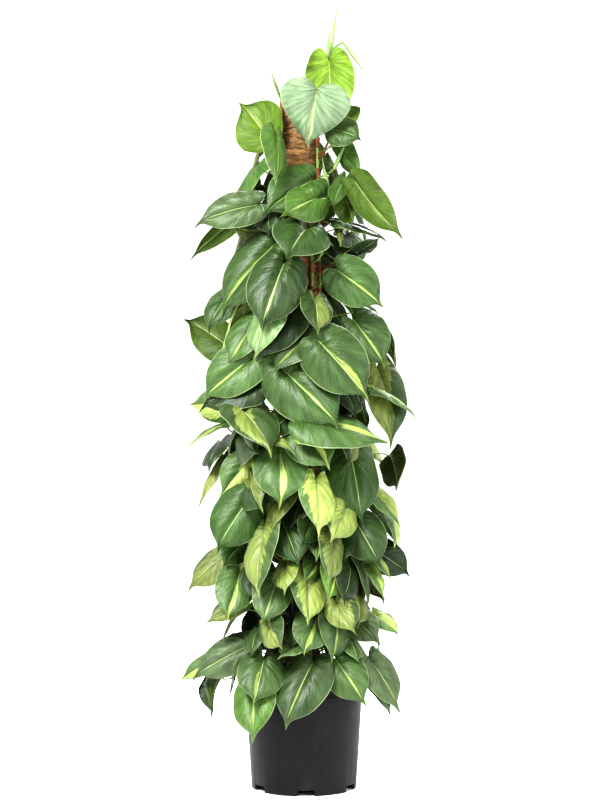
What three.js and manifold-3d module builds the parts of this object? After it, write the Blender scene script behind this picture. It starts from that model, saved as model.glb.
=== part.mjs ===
// Heart-leaf philodendron with lime-streaked leaves, trained up a coir pole in a black nursery container.
// Millimetres, +Z up. The origin is the centre of the container's base, and the viewer stands at -Y.
import * as THREE from "three";
import { mergeVertices } from "three/addons/utils/BufferGeometryUtils.js";
import Module from "manifold-3d";

const wasm = await Module();
wasm.setup();

const GAP = 0.3; // between pieces that rest on each other

// The container: a 24 cm injection-moulded nursery pot.
const POT = {
  height: 232,
  rimRadius: 122,
  collarRadius: 119.5, // the deep collar under the rim
  collarBottom: 191,
  bodyRadius: 116.8, // just under the collar
  footRadius: 104.8,
  wall: 2.2,
  floor: 12, // underside of the raised floor, and top of the notches in the foot
  discRadius: 30, // the floor's middle, which stands on the ground
  sides: 32,
};
const NOTCH = { count: 6, halfAngle: 9.3, turn: 2.3 }; // the foot ring's notches, in degrees from the front
const DRAIN = { count: 6, radius: 7, ring: 78 };

// The potting mix, the pole and the climbing stems.
const SOIL = { top: 216, edge: 209, socket: 160, sides: 24 };
const STAKE = { radius: 14, bottom: 3, top: 1390, sides: 10 };
const COIR = {
  radius: 35,
  bottom: 162,
  top: 1386,
  lean: 0.52, // degrees to the viewer's right
  sides: 16,
  bands: 9, // the turns of fibre that show at the top
  bandPitch: 23,
  bandDepth: 1.6,
};
const STEM = {
  radius: 3.6,
  sides: 4,
  rootDepth: 46,
  rootRing: 62,
  bend: [10, 40, 70, 100], // heights over the soil at which it bends in to the pole
  step: 100,
  sway: 6, // degrees to either side
  swayLength: 460,
};
const PETIOLE = {
  radius: 1.7,
  sides: 3,
  steps: 2,
  short: 50, // a stalk shorter than this is straight
  lowest: 14, // over the soil, where the lowest stalk leaves its stem
  inset: 0.3, // where it meets the blade, as a share of the facet beside the midrib
};
const VINE_TURNS = [30, 75, 120, 165, 210, 255, 300, 345]; // degrees round the pole from the front
const VINE_TOPS = [1190, 1400, 1300, 1250, 1330, 1270, 1370, 1160];

// A heart-shaped blade, by shares of its own length and width.
const BLADE = {
  thickness: 1,
  taper: 0.75, // how sharply the outline closes on its drip tip
  shoulder: 0.18, // how broad it is at the stalk
  widest: 0.5303, // what the outline's formula comes to at its widest
  lobe: 0.19, // how far the two lobes reach back past the stalk
  shortest: 0.95, // its length at least, by its width
  narrowest: 0.72, // its width at least, by its length: one that looks narrower is turned about its midrib
};
// Rows of points from the stalk to the tip, each at a share of the length, with shares of the half width.
const BLADE_ROWS = [
  { at: 0, shares: [-1, -0.72, -0.34, 0, 0.34, 0.72, 1] },
  { at: 0.24, shares: [-1, 0, 1] },
  { at: 0.62, shares: [-1, 0, 1] },
  { at: 1, shares: [0] },
];
const SMALL_BLADE_ROWS = [
  { at: 0, shares: [-1, -0.45, 0, 0.45, 1] },
  { at: 0.4, shares: [-1, 0, 1] },
  { at: 1, shares: [0] },
];
const SMALL_BLADE = 150; // length

// Where a viewer stands to see the front leaves as they are listed, and how far up the leaves look.
const SIGHT = { distance: 4500, height: 900, lookUp: 0.25 };
const CROWN = {
  baseRadius: 150,
  baseDepth: 0.8,
  tipRadius: 215,
  tipDepth: 0.85,
  narrowFrom: 1050, // above this height the crown narrows to half at topHeight
  topHeight: 1400,
  topShare: 0.5,
};

// Ribbon ties that hold the right-hand stem to the coir: which stem, and the heights.
const TIE = {
  vine: 1,
  heights: [1074, 1117, 1190, 1295],
  width: 6,
  thickness: 1.2,
  halfAngle: 112,
  room: 0.8,
};

// The front leaves: stalk end [x, z] and tip [x, z] as the viewer sees them, width, how much nearer than
// the crown's surface the leaf lies, how far it is turned about its midrib from facing the viewer (0 for as far
// as its width tells), and how much its tip leans out.
const FRONT_LEAVES = [
  // round the top of the pole
  [50, 1448, 56, 1328, 98, -14, 180, -20],
  [26, 1390, 4, 1274, 140, 38, 0, -20],
  [-72, 1300, -126, 1368, 112, -30, 180, -40],
  [-58, 1308, -58, 1202, 64, 14, -40, 0],
  [84, 1352, 36, 1294, 60, -85, 180, 0],
  [58, 1316, 116, 1296, 66, 0, 0, 0],
  [60, 1284, 112, 1220, 56, -50, 50, 0],
  [100, 1208, 198, 1096, 76, -10, 165, 0],
  [84, 1220, 56, 1156, 46, -30, 20, 0],
  [80, 1184, 98, 1124, 48, -50, 180, 0],
  [68, 1132, 168, 1096, 52, -20, -55, 0],
  [78, 1118, 72, 1082, 42, -45, 0, 0],
  [106, 1070, 148, 1098, 34, -60, 50, 0],
  [-84, 1208, -116, 1164, 42, -50, 180, 0],
  [-92, 1166, -222, 1126, 80, 10, 12, 0],
  [-98, 1148, -216, 1050, 46, -30, 135, 0],
  [-90, 1116, -158, 1124, 40, -60, 0, 0],
  // the upper crown
  [16, 1216, -84, 1148, 100, -12, 0, 0],
  [28, 1180, -48, 1142, 84, 8, 0, 10],
  [6, 1120, -36, 1056, 116, 2, 0, 40],
  [-50, 1096, -174, 940, 114, -14, 20, 0],
  [-40, 1050, -90, 912, 114, 18, 0, 0],
  [66, 1036, 160, 962, 96, 10, 0, 0],
  [22, 980, 28, 908, 62, -4, 0, 0],
  [-68, 972, -96, 856, 72, -8, 0, 0],
  [-20, 968, -96, 852, 100, -22, 0, 0],
  [-96, 940, -162, 842, 72, 0, 0, 0],
  [-152, 884, -240, 940, 88, -50, 180, -30],
  [-120, 980, -170, 900, 66, -40, 0, 0],
  [20, 914, -68, 828, 78, 0, 0, 0],
  [30, 894, 134, 774, 120, 26, 0, 0],
  [100, 936, 166, 840, 100, 0, 0, 0],
  [148, 862, 178, 696, 96, -30, -25, 0],
  [124, 780, 212, 722, 48, -6, -70, 0],
  [136, 828, 190, 758, 60, -50, -40, 0],
  // the middle crown
  [-96, 872, -210, 778, 102, 0, 0, 0],
  [-92, 808, -210, 762, 74, -24, 0, 0],
  [-128, 752, -216, 756, 74, -30, -25, 0],
  [-128, 764, -58, 666, 104, 34, -30, 0],
  [-44, 842, 78, 718, 130, 12, 0, 0],
  [-16, 760, -80, 702, 66, -48, 0, 0],
  [-80, 696, -18, 670, 36, 34, -40, 0],
  [-2, 734, 168, 690, 88, 0, 0, 0],
  [82, 800, 106, 742, 46, -6, 0, 0],
  [-4, 716, 54, 640, 100, -14, 0, 0],
  [92, 728, 88, 640, 44, 4, 0, 0],
  [-48, 684, -46, 560, 108, 12, 0, 0],
  [-24, 598, -64, 514, 52, -6, 0, 0],
  [92, 684, 118, 528, 106, 0, 0, 0],
  [-126, 714, -96, 674, 78, -22, 0, 35],
  [-136, 722, -220, 672, 42, -40, 65, 0],
  [-156, 686, -182, 632, 48, -40, 0, 0],
  [-158, 656, -204, 560, 42, -20, 55, 0],
  [-128, 666, -192, 586, 78, -10, 0, 0],
  [-108, 616, -84, 554, 66, 14, 0, 20],
  [-110, 584, -178, 476, 102, 5, 0, 0],
  [-56, 564, -120, 516, 62, -24, 180, 0],
  [24, 618, 30, 506, 70, 10, 0, 0],
  [-2, 596, -32, 532, 48, -18, 0, 0],
  [-52, 640, -36, 566, 58, -46, 0, 0],
  [86, 566, 54, 492, 68, 0, 0, 0],
  [102, 536, 156, 440, 90, 0, 0, 0],
  [136, 596, 194, 522, 44, -10, 0, 0],
  [140, 644, 152, 576, 56, -70, 180, 0],
  [158, 552, 168, 480, 36, -45, 0, 0],
  [146, 490, 226, 434, 70, 0, 0, 0],
  [112, 476, 164, 408, 38, -20, -55, 0],
  [-152, 472, -236, 394, 70, -14, 0, 0],
  [-126, 486, -164, 442, 54, -36, 0, 0],
  [-82, 528, -98, 380, 62, 16, 0, 0],
  [-72, 544, -58, 494, 42, 0, 0, 0],
  [-44, 538, -8, 440, 86, -16, 0, 0],
  [16, 544, -8, 484, 54, -26, 0, 0],
  [28, 516, 26, 452, 50, -22, 0, 0],
  [58, 504, 48, 404, 50, 10, 0, 0],
  // the lower crown
  [62, 452, 46, 368, 60, -6, 0, 0],
  [102, 454, 84, 370, 56, -8, 0, 0],
  [-128, 432, -156, 332, 82, 0, 0, 0],
  [-84, 444, -112, 372, 62, -12, 0, 0],
  [-52, 422, -84, 324, 78, 0, 0, 0],
  [-36, 448, -38, 388, 52, 10, 0, 0],
  [6, 426, 8, 322, 68, 16, 0, 0],
  [28, 456, -2, 410, 48, -12, 0, 0],
  [64, 376, 104, 306, 68, 12, 0, 0],
  [116, 456, 152, 376, 42, -14, -45, 0],
  [126, 402, 132, 324, 50, -6, 0, 0],
  [138, 348, 194, 302, 56, -14, -40, 0],
  [-96, 354, -170, 310, 50, -10, 25, 0],
  [-122, 314, -176, 294, 44, -34, 0, 0],
  [-74, 336, -42, 278, 56, 0, 0, 0],
  [28, 342, -4, 264, 80, 0, 0, 0],
  [66, 356, 54, 252, 62, -10, 0, 0],
  [-92, 316, -104, 262, 42, -16, 0, 0],
  [-6, 286, -52, 258, 42, -10, 0, 0],
  [-26, 420, -30, 336, 64, -44, 0, 0],
  [-10, 352, -26, 280, 58, -48, 0, 0],
  [100, 338, 156, 282, 66, -8, 0, 0],
  [92, 300, 106, 252, 44, -26, 0, 0],
  // the skirt over the rim
  [-120, 290, -240, 222, 80, 0, 10, 0],
  [-160, 252, -242, 202, 46, -34, 25, 0],
  [-152, 220, -166, 138, 46, -20, 0, 0],
  [-80, 258, -100, 166, 94, 0, 0, 0],
  [-96, 216, -100, 90, 86, -16, 0, 0],
  [18, 252, -42, 114, 102, 0, 0, 0],
  [62, 258, 126, 160, 86, 0, 0, 0],
  [130, 262, 192, 148, 70, 0, 0, 0],
  [140, 232, 174, 160, 44, -40, 0, 0],
  // in the shade between them
  [-64, 1172, -70, 1100, 66, -55, 0, 0],
  [60, 1096, 66, 1024, 66, -55, 0, 0],
  [82, 806, 86, 726, 74, -75, 0, 0],
  [76, 528, 80, 450, 70, -70, 0, 0],
  [98, 420, 102, 340, 74, -75, 0, 0],
  [-44, 392, -48, 318, 62, -62, 0, 0],
  [-104, 356, -110, 280, 70, -75, 0, 0],
  [-140, 286, -148, 216, 60, -70, 0, 0],
];

// The leaves behind, which follow a rule: a turn of the golden section from each to the next, going up.
const BACK_LEAVES = {
  count: 60,
  lowest: 262,
  highest: 1300,
  from: 74, // degrees round the pole from the front
  span: 212,
  goldenShare: 0.618034,
  radius: [84, 112], // of the stalk ends round the pole
  length: [92, 146],
  widthShare: [0.72, 0.84],
  swing: 34, // degrees that the tip swings to either side
  hang: [16, 36], // degrees from hanging straight down
  turn: 16,
};

// Rolled young leaves at the growing tips: foot [x, z], tip [x, z], radius, how much nearer than the pole's axis,
// and where its stalk starts, if not on a climbing stem.
const SPEARS = [
  [44, 1432, 70, 1572, 6.5, 28],
  [76, 1492, 130, 1414, 3.6, 32, [51, 1468]],
  [-46, 1376, -68, 1440, 3, -14],
  [-20, 1384, -32, 1428, 2.2, -40],
  [60, 1236, 88, 1298, 4.5, 46],
];

const SETTLE = { rounds: 36, clearance: 5.5, mostPerRound: 9, poleClearance: 54, rimClearance: 8 };
const SAMPLES = { along: [-0.12, 0.08, 0.3, 0.52, 0.74, 0.94], across: [-0.85, -0.45, 0, 0.45, 0.85] };
const NUDGES = [0, 2, -2, 4, -4, 7, -7, 11, -11, 16, -16];
const PLAIN_JOINT = 18; // new triangles where a leaf joins its stem and crosses nothing
// How far below the blade its stalk leaves the stem, by its reach.
const RISES = [0.45, 0.1, 0.8, -0.25, 1.2, 1.7];

const radians = THREE.MathUtils.degToRad;
const UP = new THREE.Vector3(0, 0, 1);

// A repeatable draw from 0 to 1: a linear congruential generator, exact in double precision.
let drawState = 20;
function draw(low = 0, high = 1) {
  drawState = (drawState * 1664525 + 1013904223) % 4294967296;
  return low + ((high - low) * drawState) / 4294967296;
}

// The pole leans a little to the left: where its axis is at a height.
function axisAt(z) {
  return new THREE.Vector3(-Math.tan(radians(COIR.lean)) * (z - SOIL.top), 0, z);
}

// A point at an angle from the front, round the pole, at a distance from its axis.
function aroundPole(turn, radius, z) {
  const angle = radians(turn);
  return axisAt(z).add(new THREE.Vector3(radius * Math.sin(angle), -radius * Math.cos(angle), 0));
}

// A listed place lies on the plane through the pole. It moves along the viewer's line of sight to its depth.
function alongSight(x, z, depth) {
  const share = 1 - depth / SIGHT.distance;
  return new THREE.Vector3(x * share, -depth, SIGHT.height + (z - SIGHT.height) * share);
}

function crownShare(z) {
  const rise = (z - CROWN.narrowFrom) / (CROWN.topHeight - CROWN.narrowFrom);
  return 1 - (1 - CROWN.topShare) * Math.min(Math.max(rise, 0), 1);
}

function crownDepth(x, z, radius, depthShare) {
  return depthShare * crownShare(z) * Math.sqrt(Math.max(radius * radius - x * x, 0));
}

// A leaf that looks too short for its width points at the viewer, or away where its lean is below 0, and one that
// looks too narrow for its length is turned about its midrib, outwards from the pole.
function frontLeaf([x, z, tipX, tipZ, width, nearer, turn, lean]) {
  const depth = crownDepth(x, z, CROWN.baseRadius, CROWN.baseDepth) + nearer;
  const seen = Math.hypot(tipX - x, tipZ - z);
  const hidden = Math.sqrt(Math.max((BLADE.shortest * width) ** 2 - seen ** 2, 0));
  const onCrown = crownDepth(tipX, tipZ, CROWN.tipRadius, CROWN.tipDepth) + nearer + lean;
  const tipDepth = lean < 0 ? Math.min(onCrown, depth - hidden) : Math.max(onCrown, depth + hidden);
  const base = alongSight(x, z, depth);
  const tip = alongSight(tipX, tipZ, tipDepth);
  const looksBack = Math.abs(turn) === 180;
  const fullWidth = Math.max(width, BLADE.narrowest * base.distanceTo(tip));
  const outward = (x + tipX) * (tipZ - z) < 0 ? -1 : 1;
  const seenTurn = outward * THREE.MathUtils.radToDeg(Math.acos(width / fullWidth));
  const turned = turn && !looksBack ? turn : seenTurn;
  return {
    base,
    tip,
    width: turn && !looksBack ? width : fullWidth,
    looks: new THREE.Vector3(0, looksBack ? 1 : -1, SIGHT.lookUp),
    turn: looksBack ? -turned : turned,
    inFront: true,
    arch: draw(0.04, 0.09),
    droop: draw(0.1, 0.3),
  };
}

function backLeaf(index) {
  const rule = BACK_LEAVES;
  const z = rule.lowest + ((rule.highest - rule.lowest) * index) / (rule.count - 1);
  const turn = rule.from + rule.span * ((index * rule.goldenShare) % 1);
  const radius = crownShare(z) * draw(...rule.radius);
  const length = draw(...rule.length) * (0.55 + 0.45 * crownShare(z));
  const swing = radians(draw(-rule.swing, rule.swing));
  const hang = radians(draw(...rule.hang));
  const base = aroundPole(turn, radius, z);
  const out = aroundPole(turn, 1, z).sub(axisAt(z));
  const side = new THREE.Vector3().crossVectors(UP, out);
  const along = out
    .clone()
    .multiplyScalar(Math.sin(hang))
    .addScaledVector(UP, -Math.cos(hang) * Math.cos(swing))
    .addScaledVector(side, Math.cos(hang) * Math.sin(swing));
  return {
    base,
    tip: base.clone().addScaledVector(along.normalize(), length),
    width: length * draw(...rule.widthShare),
    looks: out.clone().addScaledVector(UP, 0.35),
    turn: draw(-rule.turn, rule.turn),
    arch: draw(0.04, 0.09),
    droop: draw(0.1, 0.3),
  };
}

// A leaf's own axes: along its midrib, across it, and out of its upper face.
function orient(leaf) {
  const middle = leaf.base.clone().lerp(leaf.tip, 0.5);
  const out = middle.clone().sub(axisAt(middle.z)).setZ(0).normalize();
  leaf.length = leaf.base.distanceTo(leaf.tip);
  leaf.along = leaf.tip.clone().sub(leaf.base).normalize();
  leaf.out = out;
  leaf.face = leaf.looks.clone();
  leaf.face.addScaledVector(leaf.along, -leaf.face.dot(leaf.along)).normalize();
  leaf.face.applyAxisAngle(leaf.along, radians(leaf.turn));
  leaf.across = new THREE.Vector3().crossVectors(leaf.face, leaf.along);
  return leaf;
}

// Half the blade's width at a share of its length, from the cordate base to the drip tip.
function halfWidth(leaf, at) {
  const t = Math.min(Math.max(at, 0), 1);
  return ((leaf.width / 2) * (1 - t) ** BLADE.taper * Math.sqrt(t + BLADE.shoulder)) / BLADE.widest;
}

// How far the blade stands out of the straight line from stalk to tip: arched along it, drooping at its sides.
function relief(leaf, at, share) {
  const t = Math.min(Math.max(at, 0), 1);
  const arched = leaf.length * leaf.arch * 4 * t * (1 - t);
  return arched - leaf.droop * 0.5 * leaf.width * share * share * (1 - t * t);
}

// A point of the blade: at from 0, at the stalk, to 1, at the tip; share from -1 to 1 across it.
function bladePoint(leaf, at, share, lift = 0) {
  const swept = BLADE.lobe * (1 - at) ** 4 * Math.sin(Math.PI * Math.abs(share) ** 0.8);
  return leaf.base
    .clone()
    .addScaledVector(leaf.along, leaf.length * (at - swept))
    .addScaledVector(leaf.across, halfWidth(leaf, at) * share)
    .addScaledVector(leaf.face, relief(leaf, at, share) + lift);
}

// Points spread over a blade, the lobes included, for keeping the leaves apart.
function samplesOf(leaf) {
  return SAMPLES.along.flatMap((at) =>
    SAMPLES.across.map((share) =>
      leaf.base
        .clone()
        .addScaledVector(leaf.along, leaf.length * at)
        .addScaledVector(leaf.across, halfWidth(leaf, Math.max(at, 0)) * share)
        .addScaledVector(leaf.face, relief(leaf, at, share)),
    ),
  );
}

// The heights of some points over a blade, for those points that lie over or under it.
function heightsOver(leaf, points) {
  const heights = [];
  for (const point of points) {
    const offset = point.clone().sub(leaf.base);
    const at = offset.dot(leaf.along) / leaf.length;
    const half = halfWidth(leaf, at) + 4;
    const share = offset.dot(leaf.across) / half;
    if (at <= -0.2 || at >= 1.03 || Math.abs(share) >= 1) continue;
    heights.push(offset.dot(leaf.face) - relief(leaf, at, share));
  }
  return heights;
}

// How far the first leaf has to move along the second one's face, so that the two don't cross.
function pushApart(first, second) {
  const sameWay = Math.sign(first.face.dot(second.face)) || 1;
  const heights = heightsOver(second, first.samples).concat(
    heightsOver(first, second.samples).map((height) => -height * sameWay),
  );
  if (!heights.length) return 0;
  const up = SETTLE.clearance - Math.min(...heights);
  const down = SETTLE.clearance + Math.max(...heights);
  if (up <= 0 || down <= 0) return 0;
  return Math.max(Math.min(up <= down ? up : -down, SETTLE.mostPerRound), -SETTLE.mostPerRound);
}

// The way that a leaf moves to get off a face: straight off it, or for a front leaf, along the line of sight.
function awayFrom(leaf, face) {
  const depth = face.y;
  return leaf.inFront && Math.abs(depth) > 0.3 ? new THREE.Vector3(0, 1 / depth, 0) : face.clone();
}

function shift(leaf, direction, distance) {
  leaf.base.addScaledVector(direction, distance);
  leaf.tip.addScaledVector(direction, distance);
  leaf.samples.forEach((sample) => sample.addScaledVector(direction, distance));
}

// Leaves that cross are moved apart, a little in each round, and kept clear of the pole and of the pot.
function settle(leaves) {
  for (let round = 0; round < SETTLE.rounds; round++) {
    for (const leaf of leaves) {
      orient(leaf);
      leaf.samples = samplesOf(leaf);
      const lacking = leaf.samples.map((sample) => {
        const distance = Math.hypot(sample.x - axisAt(sample.z).x, sample.y);
        if (sample.z < POT.height + SETTLE.rimClearance) return POT.rimRadius + SETTLE.rimClearance - distance;
        return sample.z < COIR.top ? SETTLE.poleClearance - distance : 0;
      });
      const most = Math.max(...lacking);
      const away = leaf.inFront ? new THREE.Vector3(0, -1, 0) : leaf.out;
      if (most > 0) shift(leaf, away, Math.min(most, SETTLE.mostPerRound));
    }
    leaves.forEach((first, index) => {
      for (const second of leaves.slice(index + 1)) {
        if (first.base.distanceTo(second.base) > first.length + second.length) continue;
        const push = pushApart(first, second) / 2;
        if (!push) continue;
        shift(first, awayFrom(first, second.face), push);
        shift(second, awayFrom(second, second.face), -push);
      }
    });
  }
  leaves.forEach(orient);
  return leaves;
}

// Where a climbing stem's middle is: upright in the soil, then against the pole with a slight sway.
function stemPoint(vine, z) {
  const sway = STEM.sway * Math.sin((z / STEM.swayLength + vine) * 2 * Math.PI);
  const onPole = COIR.radius + GAP + STEM.radius;
  const rise = Math.min(Math.max((z - SOIL.top - 10) / 90, 0), 1);
  const radius = STEM.rootRing + (onPole - STEM.rootRing) * rise * rise * (3 - 2 * rise);
  return aroundPole(VINE_TURNS[vine] + sway * rise, radius, z);
}

function angleBetween(first, second) {
  return Math.abs(((first - second + 540) % 360) - 180);
}

// The climbing stems from the nearest to a leaf round the pole to the farthest; one that ends too low
// counts as far.
function vinesNear(leaf) {
  const turn = THREE.MathUtils.radToDeg(Math.atan2(leaf.base.x - axisAt(leaf.base.z).x, -leaf.base.y));
  const far = VINE_TURNS.map((vineTurn, vine) => {
    const tooLow = leaf.base.z > VINE_TOPS[vine] + 60;
    return angleBetween(turn, vineTurn) + (tooLow ? 90 : 0);
  });
  return far.map((_, vine) => vine).sort((first, second) => far[first] - far[second]);
}

function rowsOf(leaf) {
  return leaf.length < SMALL_BLADE ? SMALL_BLADE_ROWS : BLADE_ROWS;
}

// The middle of the blade's thickness a little past its notch, on the flat facet between the midrib and a lobe.
function stalkPlace(leaf) {
  const [first, second] = rowsOf(leaf);
  const lobe = first.shares.find((share) => share > 0);
  const notch = bladePoint(leaf, first.at, 0);
  const beside = bladePoint(leaf, first.at, lobe).sub(notch);
  const onward = bladePoint(leaf, second.at, 0).sub(notch);
  return notch.addScaledVector(beside, PETIOLE.inset).addScaledVector(onward, PETIOLE.inset);
}

// The leaf stalk: out of the stem and up, then straight into the back of the blade beside its notch.
function petioleCurve(leaf, vine, rise) {
  const reach = Math.hypot(leaf.base.x - axisAt(leaf.base.z).x, leaf.base.y) - COIR.radius;
  const lowest = SOIL.top + PETIOLE.lowest;
  const nodeHeight = Math.min(Math.max(leaf.base.z - rise * reach, lowest), VINE_TOPS[vine] - 6);
  const node = stemPoint(vine, nodeHeight);
  const end = stalkPlace(leaf);
  const span = node.distanceTo(end);
  const outward = node.clone().sub(axisAt(nodeHeight)).setZ(0).normalize();
  const faces = leaf.face.dot(leaf.out) < 0 ? -1 : 1;
  return new THREE.CubicBezierCurve3(
    node,
    node.clone().addScaledVector(outward, 0.35 * span).addScaledVector(UP, 0.3 * span),
    end.clone().addScaledVector(leaf.face, -0.35 * span * faces),
    end,
  );
}

// A three.js geometry as a solid that can be joined and cut.
function solidFrom(geometry) {
  const bare = geometry.clone();
  bare.deleteAttribute("normal");
  bare.deleteAttribute("uv");
  const merged = mergeVertices(bare, 1e-4);
  const mesh = new wasm.Mesh({
    numProp: 3,
    vertProperties: new Float32Array(merged.attributes.position.array),
    triVerts: new Uint32Array(merged.index.array),
  });
  return new wasm.Manifold(mesh);
}

function geometryFrom(solid) {
  const mesh = solid.getMesh();
  const geometry = new THREE.BufferGeometry();
  const positions = new Float32Array(mesh.numVert * 3);
  for (let i = 0; i < mesh.numVert; i++) {
    positions.set(mesh.vertProperties.subarray(i * mesh.numProp, i * mesh.numProp + 3), i * 3);
  }
  geometry.setAttribute("position", new THREE.BufferAttribute(positions, 3));
  geometry.setIndex(new THREE.BufferAttribute(new Uint32Array(mesh.triVerts), 1));
  geometry.computeVertexNormals();
  return geometry;
}

// A blade with the same triangles on both faces and a wall round its outline.
function bladeGeometry(leaf) {
  const rows = rowsOf(leaf);
  const faceAt = (height) =>
    rows.flatMap((row) => row.shares.map((share) => bladePoint(leaf, row.at, share, height)));
  const upper = faceAt(BLADE.thickness / 2);
  const lower = faceAt(-BLADE.thickness / 2);
  const index = [];
  const triangle = (a, b, c) => index.push(a, b, c, a + upper.length, c + upper.length, b + upper.length);
  let start = 0;
  const leftEdge = [];
  const rightEdge = [];
  rows.forEach((row, i) => {
    const nextStart = start + row.shares.length;
    leftEdge.push(start);
    rightEdge.unshift(nextStart - 1);
    const next = rows[i + 1];
    let here = 0;
    let there = 0;
    while (next && here + there < row.shares.length + next.shares.length - 2) {
      const along = here + 1 < row.shares.length ? row.shares[here] + row.shares[here + 1] : Infinity;
      const beyond = there + 1 < next.shares.length ? next.shares[there] + next.shares[there + 1] : Infinity;
      if (along <= beyond) {
        triangle(start + here, nextStart + there, start + here + 1);
        here += 1;
      } else {
        triangle(start + here, nextStart + there, nextStart + there + 1);
        there += 1;
      }
    }
    start = nextStart;
  });
  const notchEdge = rows[0].shares.map((_, i) => i).slice(1, -1).reverse();
  const outline = [...leftEdge, ...rightEdge.slice(1), ...notchEdge];
  outline.forEach((here, i) => {
    const next = outline[(i + 1) % outline.length];
    const under = upper.length;
    index.push(here + under, next + under, next, here + under, next, here);
  });
  return new THREE.BufferGeometry().setFromPoints([...upper, ...lower]).setIndex(index);
}

function tubeGeometry(curve, radius, sides, steps) {
  const section = new THREE.Shape();
  for (let i = 0; i < sides; i++) {
    const angle = (2 * Math.PI * i) / sides;
    const draws = i ? "lineTo" : "moveTo";
    section[draws](radius * Math.cos(angle), radius * Math.sin(angle));
  }
  return new THREE.ExtrudeGeometry(section, { steps, bevelEnabled: false, extrudePath: curve });
}

// A slim cone for a rolled young leaf.
function spearGeometry(foot, tip, radius) {
  const along = tip.clone().sub(foot);
  const geometry = new THREE.ConeGeometry(radius, along.length(), 5, 1);
  geometry.translate(0, along.length() / 2, 0);
  const coneAxis = new THREE.Vector3(0, 1, 0);
  geometry.applyQuaternion(new THREE.Quaternion().setFromUnitVectors(coneAxis, along.normalize()));
  return geometry.translate(foot.x, foot.y, foot.z);
}

// The stem of one vine, from its roots in the soil to its growing tip, as level rings joined by walls.
function stemSolid(vine) {
  const heights = [SOIL.top - STEM.rootDepth, ...STEM.bend.map((rise) => SOIL.top + rise)];
  const left = VINE_TOPS[vine] - heights.at(-1);
  const steps = Math.round(left / STEM.step);
  for (let i = 1; i <= steps; i++) heights.push(VINE_TOPS[vine] - left * (1 - i / steps));
  const points = heights.flatMap((z, ring) =>
    Array.from({ length: STEM.sides }, (_, side) => {
      const angle = (2 * Math.PI * side) / STEM.sides;
      const radius = ring === heights.length - 1 ? STEM.radius / 2 : STEM.radius;
      const out = new THREE.Vector3(radius * Math.cos(angle), radius * Math.sin(angle), 0);
      return stemPoint(vine, z).add(out);
    }),
  );
  const index = [];
  for (let ring = 0; ring < heights.length - 1; ring++) {
    for (let side = 0; side < STEM.sides; side++) {
      const here = ring * STEM.sides + side;
      const next = ring * STEM.sides + ((side + 1) % STEM.sides);
      index.push(here, next, next + STEM.sides, here, next + STEM.sides, here + STEM.sides);
    }
  }
  const last = points.length - STEM.sides;
  for (let side = 1; side < STEM.sides - 1; side++) {
    index.push(0, side + 1, side, last, last + side, last + side + 1);
  }
  return solidFrom(new THREE.BufferGeometry().setFromPoints(points).setIndex(index));
}

function petioleSolid(leaf, vine, rise) {
  const curve = petioleCurve(leaf, vine, rise);
  const steps = curve.v0.distanceTo(curve.v3) < PETIOLE.short ? 1 : PETIOLE.steps;
  return solidFrom(tubeGeometry(curve, PETIOLE.radius, PETIOLE.sides, steps));
}

// A spear on a short stalk from the nearest climbing stem, or from the spear beside it.
function spearSolid([x, z, tipX, tipZ, radius, depth, from]) {
  const foot = alongSight(x, z, depth);
  const tip = alongSight(tipX, tipZ, depth + 6);
  const vine = vinesNear({ base: foot })[0];
  const onStem = stemPoint(vine, Math.min(foot.z - 12, VINE_TOPS[vine] - 6));
  const start = from ? alongSight(...from, depth) : onStem;
  const middle = foot.clone().lerp(start, 0.35).addScaledVector(UP, from ? 4 : -8);
  const curve = new THREE.QuadraticBezierCurve3(start, middle, foot.clone().lerp(tip, 0.04));
  const stalk = solidFrom(tubeGeometry(curve, PETIOLE.radius, PETIOLE.sides, PETIOLE.steps));
  return { vine, solid: stalk.add(solidFrom(spearGeometry(foot, tip, radius))) };
}

function nudged(leaf, distance) {
  const moved = orient({ ...leaf, base: leaf.base.clone(), tip: leaf.tip.clone() });
  moved.base.addScaledVector(leaf.face, distance);
  moved.tip.addScaledVector(leaf.face, distance);
  return orient(moved);
}

// A leaf joined to one of the stems nearest to it, clear of the other stems, the pole and the pot. The place where
// it crosses least of its own stem's other leaves is taken, which the fewest new triangles tell.
function joinLeaf(leaf, vines, still) {
  let best = null;
  for (const nudge of NUDGES) {
    const moved = nudged(leaf, nudge);
    const blade = solidFrom(bladeGeometry(moved));
    if (still.concat(vines).filter((solid) => solid.minGap(blade, GAP) < GAP).length > 1) continue;
    for (const own of vinesNear(leaf).slice(0, 4)) {
      const others = vines.filter((_, vine) => vine !== own).concat(still);
      for (const rise of RISES) {
        const solid = petioleSolid(moved, own, rise).add(blade);
        if (solid.decompose().length > 1) continue;
        if (others.some((other) => other.minGap(solid, GAP) < GAP)) continue;
        const joined = vines[own].add(solid);
        const crossing = joined.numTri() - vines[own].numTri() - solid.numTri();
        if (!best || crossing < best.crossing) best = { own, joined, crossing };
        if (crossing <= PLAIN_JOINT) return best;
      }
    }
  }
  if (!best) throw new Error("no clear place for a leaf: move it in the list");
  return best;
}

// Every leafy stem as one solid.
function growVines(leaves, still) {
  const vines = VINE_TURNS.map((_, vine) => stemSolid(vine));
  for (const spear of SPEARS.map(spearSolid)) vines[spear.vine] = vines[spear.vine].add(spear.solid);
  for (const leaf of leaves) {
    const place = joinLeaf(leaf, vines, still);
    vines[place.own] = place.joined;
  }
  return vines;
}

function lathe(points, sides) {
  return new THREE.LatheGeometry(
    points.map(([radius, z]) => new THREE.Vector2(radius, z)),
    sides,
  ).rotateX(Math.PI / 2);
}

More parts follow.
